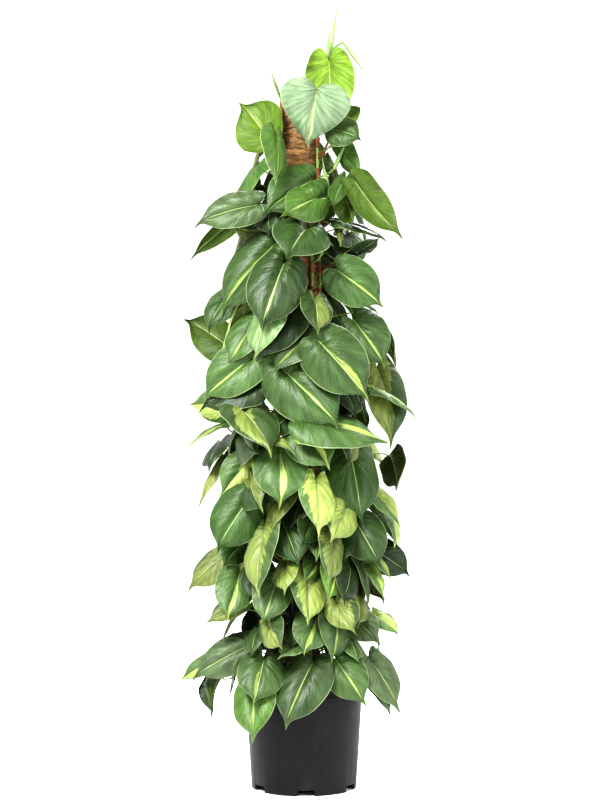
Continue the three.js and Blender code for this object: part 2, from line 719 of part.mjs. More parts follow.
// A box whose long side points away from the axis, for cutting the foot's notches.
function radialBox(turn, near, far, width, bottom, top) {
  const geometry = new THREE.BoxGeometry(width, far - near, top - bottom);
  geometry.translate(0, -(near + far) / 2, (bottom + top) / 2);
  return solidFrom(geometry.rotateZ(radians(turn)));
}

function upright(radius, sides, bottom, top) {
  const geometry = new THREE.CylinderGeometry(radius, radius, top - bottom, sides);
  return geometry.rotateX(Math.PI / 2).translate(0, 0, (bottom + top) / 2);
}

function potSolid() {
  const inner = (radius) => radius - POT.wall;
  const floorTop = POT.floor + POT.wall;
  const profile = [
    [0, 0],
    [POT.discRadius, 0],
    [POT.discRadius + 14, POT.floor],
    [POT.footRadius - 3.4, POT.floor],
    [POT.footRadius - 4, 0],
    [POT.footRadius, 0],
    [POT.bodyRadius, POT.collarBottom],
    [POT.collarRadius, POT.collarBottom + 2],
    [POT.collarRadius + 0.8, POT.height - 5],
    [POT.rimRadius, POT.height - 4],
    [POT.rimRadius, POT.height],
    [inner(POT.collarRadius + 0.6), POT.height],
    [inner(POT.bodyRadius), POT.collarBottom - 6],
    [inner(POT.footRadius + 0.9), floorTop],
    [POT.discRadius + 15, floorTop],
    [POT.discRadius + 1, POT.wall],
    [0, POT.wall],
  ];
  let pot = solidFrom(lathe(profile, POT.sides));
  const notchWidth = 2 * POT.footRadius * Math.sin(radians(NOTCH.halfAngle));
  for (let i = 0; i < NOTCH.count; i++) {
    const turn = NOTCH.turn + (360 / NOTCH.count) * i;
    const notch = radialBox(turn, POT.footRadius - 12, POT.footRadius + 12, notchWidth, -1, POT.floor - 0.5);
    pot = pot.subtract(notch);
  }
  for (let i = 0; i < DRAIN.count; i++) {
    const turn = radians(NOTCH.turn + (360 / DRAIN.count) * (i + 0.5));
    const hole = upright(DRAIN.radius, 8, POT.floor - 4, floorTop + 4);
    hole.translate(DRAIN.ring * Math.sin(turn), -DRAIN.ring * Math.cos(turn), 0);
    pot = pot.subtract(solidFrom(hole));
  }
  return pot;
}

// The pole's own parts stand along its leaning axis.
function leaning(geometry) {
  return geometry
    .translate(0, 0, -SOIL.top)
    .rotateY(-radians(COIR.lean))
    .translate(0, 0, SOIL.top);
}

function coirSolid() {
  const bore = STAKE.radius + GAP;
  const profile = [
    [bore, COIR.bottom],
    [COIR.radius, COIR.bottom],
  ];
  const bandsFrom = COIR.top - COIR.bands * COIR.bandPitch;
  for (let i = 0; i < COIR.bands; i++) {
    const z = bandsFrom + i * COIR.bandPitch;
    profile.push([COIR.radius - COIR.bandDepth, z], [COIR.radius, z + COIR.bandPitch / 2]);
  }
  profile.push([COIR.radius - 4, COIR.top], [bore, COIR.top], [bore, COIR.bottom]);
  return solidFrom(leaning(lathe(profile, COIR.sides)));
}

function stakeGeometry() {
  return leaning(upright(STAKE.radius, STAKE.sides, STAKE.bottom, STAKE.top));
}

// The potting mix, with a stepped socket for the pole and a plain hole for each stem.
function soilSolid() {
  const inside = (radius) => radius - POT.wall - 0.5;
  const floorTop = POT.floor + POT.wall + GAP;
  const profile = [
    [0, POT.wall + GAP],
    [POT.discRadius + 0.4, POT.wall + GAP],
    [POT.discRadius + 14.6, floorTop],
    [inside(POT.footRadius + 0.9), floorTop],
    [inside(POT.bodyRadius), POT.collarBottom - 6],
    [inside(POT.bodyRadius + 1.6), SOIL.edge],
    [STEM.rootRing + 24, SOIL.top - 1],
    [0, SOIL.top],
  ];
  let soil = solidFrom(lathe(profile, SOIL.sides));
  const socket = upright(COIR.radius + 2 * GAP, COIR.sides, SOIL.socket, SOIL.top + 20);
  const bore = upright(STAKE.radius + 2 * GAP, STAKE.sides, -5, SOIL.socket + 5);
  soil = soil.subtract(solidFrom(leaning(socket))).subtract(solidFrom(leaning(bore)));
  VINE_TURNS.forEach((_, vine) => {
    const foot = stemPoint(vine, SOIL.top);
    const hole = upright(STEM.radius + 2, STEM.sides, SOIL.top - STEM.rootDepth - GAP, SOIL.top + 20);
    soil = soil.subtract(solidFrom(hole.translate(foot.x, foot.y, 0)));
  });
  return soil;
}

// A ribbon bent round the stem, with its two ends at the coir.
function tieSolid(z) {
  const inner = STEM.radius + TIE.room;
  const half = radians(TIE.halfAngle);
  const band = new THREE.Shape();
  band.absarc(0, 0, inner + TIE.thickness, -half, half, false);
  band.absarc(0, 0, inner, half, -half, true);
  const options = { depth: TIE.width, bevelEnabled: false, curveSegments: 4 };
  const geometry = new THREE.ExtrudeGeometry(band, options);
  const seat = stemPoint(TIE.vine, z);
  const axis = axisAt(z);
  geometry.rotateZ(Math.atan2(seat.y - axis.y, seat.x - axis.x));
  return solidFrom(geometry.translate(seat.x, seat.y, z - TIE.width / 2));
}

function piece(name, geometry, color, roughness) {
  const mesh = new THREE.Mesh(geometry, new THREE.MeshStandardMaterial({ color, roughness, metalness: 0 }));
  mesh.name = name;
  return mesh;
}

const leaves = settle([
  ...FRONT_LEAVES.map(frontLeaf),
  ...Array.from({ length: BACK_LEAVES.count }, (_, index) => backLeaf(index)),
]);

const pot = potSolid();
const soil = soilSolid();
const coir = coirSolid();
const ties = TIE.heights.map(tieSolid);

const plant = new THREE.Group();
plant.add(piece("pot", geometryFrom(pot), 0x2b2d2c, 0.45));
plant.add(piece("potting_mix", geometryFrom(soil), 0x33251a, 0.95));
plant.add(piece("pole_stake", stakeGeometry(), 0xb08d5e, 0.8));
plant.add(piece("coir_sleeve", geometryFrom(coir), 0x8a5f3c, 0.95));
growVines(leaves, [pot, soil, coir, ...ties]).forEach((solid, vine) => {
  plant.add(piece(`vine_${vine + 1}`, geometryFrom(solid), 0x3f7a3a, 0.4));
});
ties.forEach((solid, tie) => plant.add(piece(`tie_${tie + 1}`, geometryFrom(solid), 0xc8743a, 0.8)));

export default plant;
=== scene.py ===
"""Heart-leaf philodendron with lime-streaked leaves on a coir pole, in a black nursery pot.

The packed solids say where each piece stands. This script gives each piece its finished form and its surface.
The layout is in millimetres, as in the part's source, and each mesh is in metres.
"""

import math

import bmesh
import bpy
import numpy as np
from bpy.props import FloatProperty, FloatVectorProperty, IntProperty, PointerProperty
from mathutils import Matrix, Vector, noise
from mathutils.kdtree import KDTree


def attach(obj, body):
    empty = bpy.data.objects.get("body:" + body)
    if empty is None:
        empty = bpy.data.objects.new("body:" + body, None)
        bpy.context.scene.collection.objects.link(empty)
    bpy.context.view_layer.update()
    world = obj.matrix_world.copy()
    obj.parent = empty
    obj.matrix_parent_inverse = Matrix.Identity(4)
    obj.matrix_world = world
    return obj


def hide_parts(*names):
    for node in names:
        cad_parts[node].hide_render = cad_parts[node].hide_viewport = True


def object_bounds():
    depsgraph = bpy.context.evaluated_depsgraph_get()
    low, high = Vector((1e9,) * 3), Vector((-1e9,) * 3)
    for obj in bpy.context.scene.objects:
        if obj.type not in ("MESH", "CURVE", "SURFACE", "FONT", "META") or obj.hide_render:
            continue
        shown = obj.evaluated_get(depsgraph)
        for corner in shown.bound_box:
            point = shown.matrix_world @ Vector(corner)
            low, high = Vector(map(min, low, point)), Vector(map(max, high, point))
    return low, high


bl_info = {
    "name": "Potted philodendron",
    "version": (1, 0, 0),
    "blender": (4, 5, 0),
    "location": "3D View > Sidebar > Plant",
    "description": "Builds a variegated philodendron on a coir pole around its packed solids",
    "category": "Object",
}

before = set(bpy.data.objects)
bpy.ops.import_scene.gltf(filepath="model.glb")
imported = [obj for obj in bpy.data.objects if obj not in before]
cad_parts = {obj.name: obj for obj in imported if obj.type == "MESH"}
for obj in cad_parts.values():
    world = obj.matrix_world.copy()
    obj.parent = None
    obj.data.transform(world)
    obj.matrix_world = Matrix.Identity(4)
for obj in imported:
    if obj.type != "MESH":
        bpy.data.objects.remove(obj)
CAD_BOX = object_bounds()

# Sizes that the part's source fixes, in millimetres and degrees.
GAP = 0.3
POT_HEIGHT, RIM_RADIUS, COLLAR_RADIUS, COLLAR_BOTTOM = 232, 122, 119.5, 191
BODY_RADIUS, FOOT_RADIUS, POT_WALL, POT_FLOOR, DISC_RADIUS = 116.8, 104.8, 2.2, 12, 30
NOTCH_COUNT, NOTCH_HALF, NOTCH_TURN = 6, 9, 2.3
DRAIN_RADIUS, DRAIN_RING = 7, 78
SOIL_TOP, SOIL_EDGE, SOIL_RADIUS, DOME_RADIUS = 216, 209, 115.4, 115.3
STAKE_RADIUS, STAKE_BOTTOM, STAKE_TOP = 14, 3, 1390
COIR_RADIUS, COIR_BOTTOM, COIR_TOP, COIR_LEAN = 35, 162, 1386, 0.52
STEM_RADIUS, ROOT_DEPTH, ROOT_RING, SWAY, SWAY_LENGTH = 3.6, 46, 62, 6, 460
BEND_FROM, BEND_SPAN, BELOW_TOP = 10, 90, 6
PETIOLE_RADIUS, PETIOLE_SHORT, PETIOLE_LOWEST, PETIOLE_INSET = 1.7, 50, 14, 0.3
VINE_TURNS = (30, 75, 120, 165, 210, 255, 300, 345)
VINE_TOPS = (1190, 1400, 1300, 1250, 1330, 1270, 1370, 1160)
TAPER, SHOULDER, WIDEST, LOBE, SHORTEST, NARROWEST = 0.75, 0.18, 0.5303, 0.19, 0.95, 0.72
BLADE_NOTCH, THREE = (-1, -0.72, -0.34, 0, 0.34, 0.72, 1), (-1, 0, 1)
BLADE_ROWS = ((0, BLADE_NOTCH), (0.24, THREE), (0.62, THREE), (1, (0,)))
SMALL_ROWS = ((0, (-1, -0.45, 0, 0.45, 1)), (0.4, THREE), (1, (0,)))
SMALL_BLADE = 150
SIGHT_DISTANCE, SIGHT_HEIGHT, LOOK_UP = 4500, 900, 0.25
CROWN_BASE, CROWN_TIP = (150, 0.8), (215, 0.85)
NARROW_FROM, CROWN_TOP, TOP_SHARE = 1050, 1400, 0.5
TIE_VINE, TIE_HEIGHTS = 1, (1074, 1117, 1190, 1295)
TIE_WIDTH, TIE_THICKNESS, TIE_HALF, TIE_ROOM = 6, 1.2, 112, 0.8
ROUNDS, CLEARANCE, MOST, POLE_CLEARANCE, RIM_CLEARANCE = 36, 5.5, 9, 54, 8
OVER_FROM, OVER_TO, OVER_ROOM = -0.2, 1.03, 4
SAMPLE_AT, SAMPLE_SHARES = (-0.12, 0.08, 0.3, 0.52, 0.74, 0.94), (-0.85, -0.45, 0, 0.45, 0.85)
SAMPLES = [(at, share) for at in SAMPLE_AT for share in SAMPLE_SHARES]
NUDGES = (0, 2, -2, 4, -4, 7, -7, 11, -11, 16, -16)
RISES = (0.45, 0.1, 0.8, -0.25, 1.2, 1.7)
BACK_COUNT, BACK_LOWEST, BACK_HIGHEST, BACK_FROM, BACK_SPAN, GOLDEN = 60, 262, 1300, 74, 212, 0.618034
BACK_RADIUS, BACK_LENGTH, BACK_WIDTH, BACK_HANG = (84, 112), (92, 146), (0.72, 0.84), (16, 36)
BACK_SWING, BACK_TURN = 34, 16

# The front leaves as the part's source lists them: stalk end, tip, width, how much nearer, and then turn and
# lean where they aren't 0. The last entry is the leaf's marking: a letter from MARKINGS, then + or - for the
# side of the midrib that is lime.
LEAF_NUMBERS = 8
LEAF_TABLE = """
50 1448 56 1328 98 -14 180 -20 v
26 1390 4 1274 140 38 0 -20 t
-72 1300 -126 1368 112 -30 180 -40 u
-58 1308 -58 1202 64 14 -40 0 m-
84 1352 36 1294 60 -85 180 0 u
58 1316 116 1296 66 0 d
60 1284 112 1220 56 -50 50 0 d
100 1208 198 1096 76 -10 165 0 u
84 1220 56 1156 46 -30 20 0 d
80 1184 98 1124 48 -50 180 0 u
68 1132 168 1096 52 -20 -55 0 d
78 1118 72 1082 42 -45 h-
106 1070 148 1098 34 -60 50 0 u
-84 1208 -116 1164 42 -50 180 0 u
-92 1166 -222 1126 80 10 12 0 g
-98 1148 -216 1050 46 -30 135 0 u
-90 1116 -158 1124 40 -60 h+
16 1216 -84 1148 100 -12 d
28 1180 -48 1142 84 8 0 10 m
6 1120 -36 1056 116 2 0 40 d
-50 1096 -174 940 114 -14 20 0 s-
-40 1050 -90 912 114 18 s
66 1036 160 962 96 10 s
22 980 28 908 62 -4 h
-68 972 -96 856 72 -8 g
-20 968 -96 852 100 -22 s
-96 940 -162 842 72 0 b
-152 884 -240 940 88 -50 180 -30 u+
-120 980 -170 900 66 -40 d
20 914 -68 828 78 0 b
30 894 134 774 120 26 b
100 936 166 840 100 0 s
148 862 178 696 96 -30 -25 0 h-
124 780 212 722 48 -6 -70 0 h
136 828 190 758 60 -50 -40 0 d
-96 872 -210 778 102 0 s
-92 808 -210 762 74 -24 d
-128 752 -216 756 74 -30 -25 0 h
-128 764 -58 666 104 34 -30 0 h-
-44 842 78 718 130 12 s
-16 760 -80 702 66 -48 d
-80 696 -18 670 36 34 -40 0 l
-2 734 168 690 88 0 b+
82 800 106 742 46 -6 d
-4 716 54 640 100 -14 b+
92 728 88 640 44 4 h
-48 684 -46 560 108 12 b
-24 598 -64 514 52 -6 l
92 684 118 528 106 0 d
-126 714 -96 674 78 -22 0 35 d
-136 722 -220 672 42 -40 65 0 h
-156 686 -182 632 48 -40 u
-158 656 -204 560 42 -20 55 0 l
-128 666 -192 586 78 -10 h
-108 616 -84 554 66 14 0 20 h+
-110 584 -178 476 102 5 d
-56 564 -120 516 62 -24 180 0 u
24 618 30 506 70 10 l
-2 596 -32 532 48 -18 d
-52 640 -36 566 58 -46 d
86 566 54 492 68 0 l+
102 536 156 440 90 0 d
136 596 194 522 44 -10 h
140 644 152 576 56 -70 180 0 u
158 552 168 480 36 -45 h
146 490 226 434 70 0 d
112 476 164 408 38 -20 -55 0 h
-152 472 -236 394 70 -14 l
-126 486 -164 442 54 -36 d
-82 528 -98 380 62 16 l-
-72 544 -58 494 42 0 d
-44 538 -8 440 86 -16 d
16 544 -8 484 54 -26 d
28 516 26 452 50 -22 h
58 504 48 404 50 10 l
62 452 46 368 60 -6 m
102 454 84 370 56 -8 d
-128 432 -156 332 82 0 b
-84 444 -112 372 62 -12 d
-52 422 -84 324 78 0 s
-36 448 -38 388 52 10 l+
6 426 8 322 68 16 l+
28 456 -2 410 48 -12 b
64 376 104 306 68 12 l-
116 456 152 376 42 -14 -45 0 h
126 402 132 324 50 -6 l
138 348 194 302 56 -14 -40 0 h
-96 354 -170 310 50 -10 25 0 l
-122 314 -176 294 44 -34 g
-74 336 -42 278 56 0 h-
28 342 -4 264 80 0 b
66 356 54 252 62 -10 s
-92 316 -104 262 42 -16 s
-6 286 -52 258 42 -10 g
-26 420 -30 336 64 -44 d
-10 352 -26 280 58 -48 d
100 338 156 282 66 -8 g
92 300 106 252 44 -26 s
-120 290 -240 222 80 0 10 0 g
-160 252 -242 202 46 -34 25 0 h
-152 220 -166 138 46 -20 w
-80 258 -100 166 94 0 b-
-96 216 -100 90 86 -16 m
18 252 -42 114 102 0 s
62 258 126 160 86 0 s
130 262 192 148 70 0 g
140 232 174 160 44 -40 h
-64 1172 -70 1100 66 -55 d
60 1096 66 1024 66 -55 d
82 806 86 726 74 -75 d
76 528 80 450 70 -70 d
98 420 102 340 74 -75 d
-44 392 -48 318 62 -62 d
-104 356 -110 280 70 -75 d
-140 286 -148 216 60 -70 d
"""


def read_leaf(row):
    *numbers, mark = row.split()
    return (*map(int, numbers), *[0] * (LEAF_NUMBERS - len(numbers)), mark)


FRONT_LEAVES = [read_leaf(row) for row in LEAF_TABLE.strip().splitlines()]
SPEARS = (
    (44, 1432, 70, 1572, 6.5, 28, None),
    (76, 1492, 130, 1414, 3.6, 32, (51, 1468)),
    (-46, 1376, -68, 1440, 3, -14, None),
    (-20, 1384, -32, 1428, 2.2, -40, None),
    (60, 1236, 88, 1298, 4.5, 46, None),
)
# Sheaths that have let a leaf go and stand beside the stem, listed as the rolled leaves are.
SHEATHS = ((50, 1186, 36, 1262, 5.0, 44, None), (34, 1064, 42, 1128, 3.6, 52, None))

# A marking: the lime band's half width at the stalk, how far it leaves the midrib and how much it widens to
# the tip (shares of the half width), how glaucous the green is, and how light it is.
MARKINGS = {
    "d": (0.0, 0.0, 0.0, 0.05, 0.0),
    "s": (0.008, 0.04, 0.05, 0.08, 0.0),
    "b": (0.012, 0.1, 0.14, 0.1, 0.05),
    "h": (0.42, 0.4, 0.1, 0.2, 0.1),
    "l": (1.0, 0.32, 0.1, 0.3, 0.1),
    "g": (0.008, 0.03, 0.04, 0.75, 0.0),
    "t": (0.03, 0.0, 0.11, 1.0, -0.3),
    "m": (0.01, 0.05, 0.07, 0.2, 0.7),
    "u": (0.01, 0.08, 0.06, 0.1, -0.3),
    "v": (0.01, 0.03, 0.04, 0.1, -0.1),
    "w": (0.0, 0.0, 0.0, 0.0, -0.4),
}

# A fine blade's half width at shares of its length: a full leaf, and a young one that narrows early.
OUTLINE_AT = (0, 0.05, 0.12, 0.2, 0.3, 0.4, 0.5, 0.6, 0.68, 0.75, 0.8, 0.835, 0.865, 0.895, 0.94, 1)
OUTLINE_FULL = (0.84, 0.91, 0.96, 0.99, 1, 0.99, 0.95, 0.87, 0.755, 0.59, 0.41, 0.26, 0.155, 0.095, 0.055, 0)
OUTLINE_YOUNG = (0.84, 0.91, 0.97, 1, 1, 0.97, 0.89, 0.75, 0.575, 0.36, 0.21, 0.135, 0.095, 0.07, 0.045, 0)
OUTLINE_ARROW = (0.86, 0.96, 1, 0.99, 0.93, 0.83, 0.7, 0.55, 0.42, 0.29, 0.19, 0.125, 0.09, 0.065, 0.04, 0)
# How far the lobes reach back: of most leaves, and of two whose lobes are longer.
FINE_LOBE, OWN_LOBES = 0.155, {"t": 0.19, "v": 0.25}
BACK_MARKINGS = "dsbdhsgdbslhdsmd"
# How far a leaf's outline goes from the full one to the narrow one: of most leaves, and of some markings.
NARROWED, OWN_NARROWED = 0.45, {"d": 0.2, "g": 0.75, "h": 0.75, "l": 0.75, "m": 0.75}
# How bright the leaves of three markings are, whose place doesn't tell it: this stands in for the painted
# shade and the random tone of the others.
OWN_SHADES = {"t": 0.8, "u": 0.31, "v": 0.64}
# Leaves grow lighter with their height, from here and over this span. Towards the pole they take painted
# shade, within a distance from its axis and over a span, down to a share.
YOUNG_FROM, YOUNG_SPAN, INNER_FROM, INNER_SPAN, DEEPEST_PAINTED_SHADE = 1080, 250, 70, 65, 0.25
# How far round the withered leaf rolls, and which of the rolled leaves are dark.
WITHERED_ROLL, DARK_SPEARS = 2.4, (2, 3)

# How near a packed corner is to the place reckoned for it, on a blade and on a stalk, in millimetres, how
# many of a leaf's corners have to be that near, and in how many steps a stalk's length is measured.
BLADE_NEAR, STALK_NEAR, LEAST_FOUND, STALK_STEPS = 0.08, 0.03, 3, 201

# The finishes of a leafy stem, in the order of its materials.
UPPER_SKIN, LOWER_SKIN, GREEN_SKIN, DRIED_SKIN, ROLLED_SKIN = range(5)
PLANT_IOR = 1.42
STEM_STEP = 9.0
# The coir's wraps in millimetres, and in metres the height that its twine climbs.
WRAP_HEIGHT, WRAP_DEPTH, TWINE_HEIGHT = 21, 3.6, 1.2
# Half the angle that a loose thread goes round the pole, a direction that no stem or stalk takes, and how far
# the pieces stay inside the packed part's box.
ARC_HALF, ASKEW, BOX_INSET = 0.42, (0.31, 0.87, 0.2), 0.0005


def unit(vectors):
    return vectors / np.linalg.norm(vectors, axis=-1, keepdims=True)


def dot(first, second):
    return (first * second).sum(-1)


def clamp(value, low=0, high=1):
    return min(max(value, low), high)


class Draw:
    """The part's own repeatable draws, taken in the same order: a linear congruential generator."""

    state = 20

    def __call__(self, low=0.0, high=1.0):
        self.state = (self.state * 1664525 + 1013904223) % 4294967296
        return low + (high - low) * self.state / 4294967296


def axis_at(z):
    """Where the leaning pole's axis is at a height."""
    z = np.asarray(z, float)
    return np.stack([-math.tan(math.radians(COIR_LEAN)) * (z - SOIL_TOP), 0 * z, z], -1)


def around_pole(turn, radius, z):
    """A point at an angle from the front, round the pole, at a distance from its axis."""
    turn = np.radians(turn)
    return axis_at(z) + np.stack([radius * np.sin(turn), -radius * np.cos(turn), 0 * turn], -1)


def from_axis(place):
    """How far a place is from the pole's axis."""
    return math.hypot(place[0] - axis_at(place[2])[0], place[1])


def along_sight(x, z, depth):
    """A listed place, moved along the viewer's line of sight to its depth."""
    share = 1 - depth / SIGHT_DISTANCE
    return np.array([x * share, -depth, SIGHT_HEIGHT + (z - SIGHT_HEIGHT) * share])


def crown_share(z):
    rise = (z - NARROW_FROM) / (CROWN_TOP - NARROW_FROM)
    return 1 - (1 - TOP_SHARE) * clamp(rise)


def crown_depth(x, z, surface):
    radius, share = surface
    return share * crown_share(z) * math.sqrt(max(radius * radius - x * x, 0))


def front_leaf(row, draw):
    x, z, tip_x, tip_z, width, nearer, turn, lean, mark = row
    depth = crown_depth(x, z, CROWN_BASE) + nearer
    seen = math.hypot(tip_x - x, tip_z - z)
    hidden = math.sqrt(max((SHORTEST * width) ** 2 - seen**2, 0))
    on_crown = crown_depth(tip_x, tip_z, CROWN_TIP) + nearer + lean
    tip_depth = min(on_crown, depth - hidden) if lean < 0 else max(on_crown, depth + hidden)
    base = along_sight(x, z, depth)
    tip = along_sight(tip_x, tip_z, tip_depth)
    back = abs(turn) == 180
    full = max(width, NARROWEST * float(np.linalg.norm(tip - base)))
    outward = -1 if (x + tip_x) * (tip_z - z) < 0 else 1
    listed = bool(turn) and not back
    turned = turn if listed else outward * math.degrees(math.acos(width / full))
    return {
        "base": base,
        "tip": tip,
        "width": width if listed else full,
        "looks": (0, 1 if back else -1, LOOK_UP),
        "turn": -turned if back else turned,
        "front": True,
        "arch": draw(0.04, 0.09),
        "droop": draw(0.1, 0.3),
        "mark": mark,
    }


def back_leaf(index, draw):
    z = BACK_LOWEST + (BACK_HIGHEST - BACK_LOWEST) * index / (BACK_COUNT - 1)
    turn = BACK_FROM + BACK_SPAN * ((index * GOLDEN) % 1)
    radius = crown_share(z) * draw(*BACK_RADIUS)
    length = draw(*BACK_LENGTH) * (0.55 + 0.45 * crown_share(z))
    swing = math.radians(draw(-BACK_SWING, BACK_SWING))
    hang = math.radians(draw(*BACK_HANG))
    base = around_pole(turn, radius, z)
    out = around_pole(turn, 1, z) - axis_at(z)
    side = np.array([-out[1], out[0], 0.0])
    along = out * math.sin(hang) + side * math.cos(hang) * math.sin(swing)
    along[2] -= math.cos(hang) * math.cos(swing)
    return {
        "base": base,
        "tip": base + unit(along) * length,
        "width": length * draw(*BACK_WIDTH),
        "looks": out + (0, 0, 0.35),
        "turn": draw(-BACK_TURN, BACK_TURN),
        "front": False,
        "arch": draw(0.04, 0.09),
        "droop": draw(0.1, 0.3),
        "mark": BACK_MARKINGS[index % len(BACK_MARKINGS)] + "+-"[index % 2],
    }


def half_width(width, at):
    """Half the blade's width at a share of its length, from the cordate base to the drip tip."""
    t = np.clip(at, 0, 1)
    return width / 2 * (1 - t) ** TAPER * np.sqrt(t + SHOULDER) / WIDEST


def relief(length, width, arch, droop, at, share):
    """How far the blade stands out of the straight line from stalk to tip."""
    t = np.clip(at, 0, 1)
    return length * arch * 4 * t * (1 - t) - droop * 0.5 * width * share * share * (1 - t * t)


class Crown:
    """Every leaf, one row each, and the rule that moves crossing leaves apart."""

    def __init__(self, leaves):
        for key in ("base", "tip", "looks", "width", "turn", "arch", "droop"):
            setattr(self, key, np.array([leaf[key] for leaf in leaves], float))
        self.front = np.array([leaf["front"] for leaf in leaves])
        self.marks = [leaf["mark"] for leaf in leaves]
        self.orient()

    def orient(self):
        middle = self.base + (self.tip - self.base) * 0.5
        out = middle - axis_at(middle[:, 2])
        out[:, 2] = 0
        self.out = unit(out)
        self.length = np.linalg.norm(self.tip - self.base, axis=1)
        self.along = unit(self.tip - self.base)
        face = unit(self.looks - self.along * dot(self.looks, self.along)[:, None])
        angle = np.radians(self.turn)[:, None]
        self.face = face * np.cos(angle) + np.cross(self.along, face) * np.sin(angle)
        self.across = np.cross(self.face, self.along)

    def form(self, rows, at, share):
        own = (x[rows][:, None] for x in (self.length, self.width, self.arch, self.droop))
        return relief(*own, at, share)

    def sample(self):
        at, share = np.array(SAMPLES).T[:, None]
        every = np.arange(len(self.length))
        along = self.length[:, None] * at
        across = half_width(self.width[:, None], np.maximum(at, 0)) * share
        parts = (along, self.along), (across, self.across), (self.form(every, at, share), self.face)
        along, across, out = (reach[..., None] * way[:, None] for reach, way in parts)
        self.samples = self.base[:, None] + along + across + out

    def heights(self, rows, points):
        """The heights of points over some leaves' blades, and which of the points lie over or under them."""
        offset = points - self.base[rows][:, None]
        at = dot(offset, self.along[rows][:, None]) / self.length[rows][:, None]
        room = half_width(self.width[rows][:, None], at) + OVER_ROOM
        share = dot(offset, self.across[rows][:, None]) / room
        over = (at > OVER_FROM) & (at < OVER_TO) & (np.abs(share) < 1)
        return dot(offset, self.face[rows][:, None]) - self.form(rows, at, share), over

    def pushes(self, first, rows):
        """How far the first leaf has to move along each other one's face, so that the two don't cross."""
        same = np.where(self.face[rows] @ self.face[first] < 0, -1, 1)[:, None]
        high, over = self.heights(rows, self.samples[first][None])
        low, under = self.heights(np.full(len(rows), first), self.samples[rows])
        height = np.concatenate([high, -low * same], 1)
        known = np.concatenate([over, under], 1)
        up = CLEARANCE - np.where(known, height, np.inf).min(1)
        down = CLEARANCE + np.where(known, height, -np.inf).max(1)
        moved = known.any(1) & (up > 0) & (down > 0)
        return np.where(moved, np.clip(np.where(up <= down, up, -down), -MOST, MOST), 0)

    def away(self, row, face):
        if self.front[row] and abs(face[1]) > 0.3:
            return np.array([0, 1 / face[1], 0])
        return face

    def shift(self, row, step):
        self.base[row] += step
        self.tip[row] += step
        self.samples[row] += step

    def clear_pole(self):
        place = self.samples
        distance = np.hypot(place[..., 0] - axis_at(place[..., 2])[..., 0], place[..., 1])
        low = place[..., 2] < POT_HEIGHT + RIM_CLEARANCE
        beside = np.where(place[..., 2] < COIR_TOP, POLE_CLEARANCE - distance, 0)
        most = np.where(low, RIM_RADIUS + RIM_CLEARANCE - distance, beside).max(1)
        for row in np.flatnonzero(most > 0):
            away = np.array([0.0, -1.0, 0.0]) if self.front[row] else self.out[row]
            self.shift(row, away * min(most[row], MOST))

    def part_leaf(self, first):
        rows = np.arange(first + 1, len(self.length))
        while len(rows):
            apart = np.linalg.norm(self.base[rows] - self.base[first], axis=1)
            near = rows[apart <= self.length[rows] + self.length[first]]
            if not len(near):
                return
            pushes = self.pushes(first, near) / 2
            moved = np.flatnonzero(pushes)
            if not len(moved):
                return
            second, push = near[moved[0]], pushes[moved[0]]
            face = self.face[second]
            self.shift(first, self.away(first, face) * push)
            self.shift(second, self.away(second, face) * -push)
            rows = rows[rows > second]

    def settle(self):
        for _ in range(ROUNDS):
            self.orient()
            self.sample()
            self.clear_pole()
            for first in range(len(self.length) - 1):
                self.part_leaf(first)
        self.orient()


class Leaf:
    """One settled leaf, moved along its face by a nudge."""

    def __init__(self, crown, row, nudge):
        for key in ("width", "length", "arch", "droop", "along", "across", "face"):
            setattr(self, key, getattr(crown, key)[row])
        self.base = crown.base[row] + self.face * nudge
        self.tip = crown.tip[row] + self.face * nudge
        middle = (self.base + self.tip) / 2
        self.out = unit((middle - axis_at(middle[2])) * (1, 1, 0))
        self.mark = crown.marks[row]
        self.rows = SMALL_ROWS if self.length < SMALL_BLADE else BLADE_ROWS

    def point(self, at, share, lift=0.0):
        """A point of the part's own blade."""
        at, share = np.asarray(at, float), np.asarray(share, float)
        swept = LOBE * (1 - at) ** 4 * np.sin(np.pi * np.abs(share) ** 0.8)
        height = relief(self.length, self.width, self.arch, self.droop, at, share) + lift
        parts = (self.length * (at - swept), self.along), (half_width(self.width, at) * share, self.across)
        return self.base + sum(x[..., None] * way for x, way in (*parts, (height, self.face)))

    def corners(self):
        """The corners of the part's own blade, on its upper face."""
        at, share = np.array([(at, share) for at, shares in self.rows for share in shares]).T
        return self.point(at, share, 0.5)

    def stalk_place(self):
        (first, shares), (second, _) = self.rows[:2]
        notch = self.point(first, 0)
        beside = self.point(first, min(share for share in shares if share > 0)) - notch
        return notch + PETIOLE_INSET * (beside + self.point(second, 0) - notch)


def sway_at(vine, z):
    """How far a climbing stem has swayed round the pole at a height, in degrees."""
    return SWAY * np.sin((z / SWAY_LENGTH + vine) * 2 * math.pi)


def stem_point(vine, z):
    """Where a climbing stem's middle is: upright in the soil, then against the pole with a slight sway."""
    z = np.asarray(z, float)
    rise = np.clip((z - SOIL_TOP - BEND_FROM) / BEND_SPAN, 0, 1)
    on_pole = COIR_RADIUS + GAP + STEM_RADIUS
    radius = ROOT_RING + (on_pole - ROOT_RING) * rise * rise * (3 - 2 * rise)
    return around_pole(VINE_TURNS[vine] + sway_at(vine, z) * rise, radius, z)


def nearest_vine(place):
    turn = math.degrees(math.atan2(place[0] - axis_at(place[2])[0], -place[1]))
    far = []
    for own, top in zip(VINE_TURNS, VINE_TOPS):
        far.append(abs((turn - own + 540) % 360 - 180) + (90 if place[2] > top + 60 else 0))
    return far.index(min(far))


def bezier(controls, t):
    t = np.asarray(t, float)[..., None]
    a, b, c, d = controls
    return a * (1 - t) ** 3 + b * 3 * t * (1 - t) ** 2 + c * 3 * t * t * (1 - t) + d * t**3


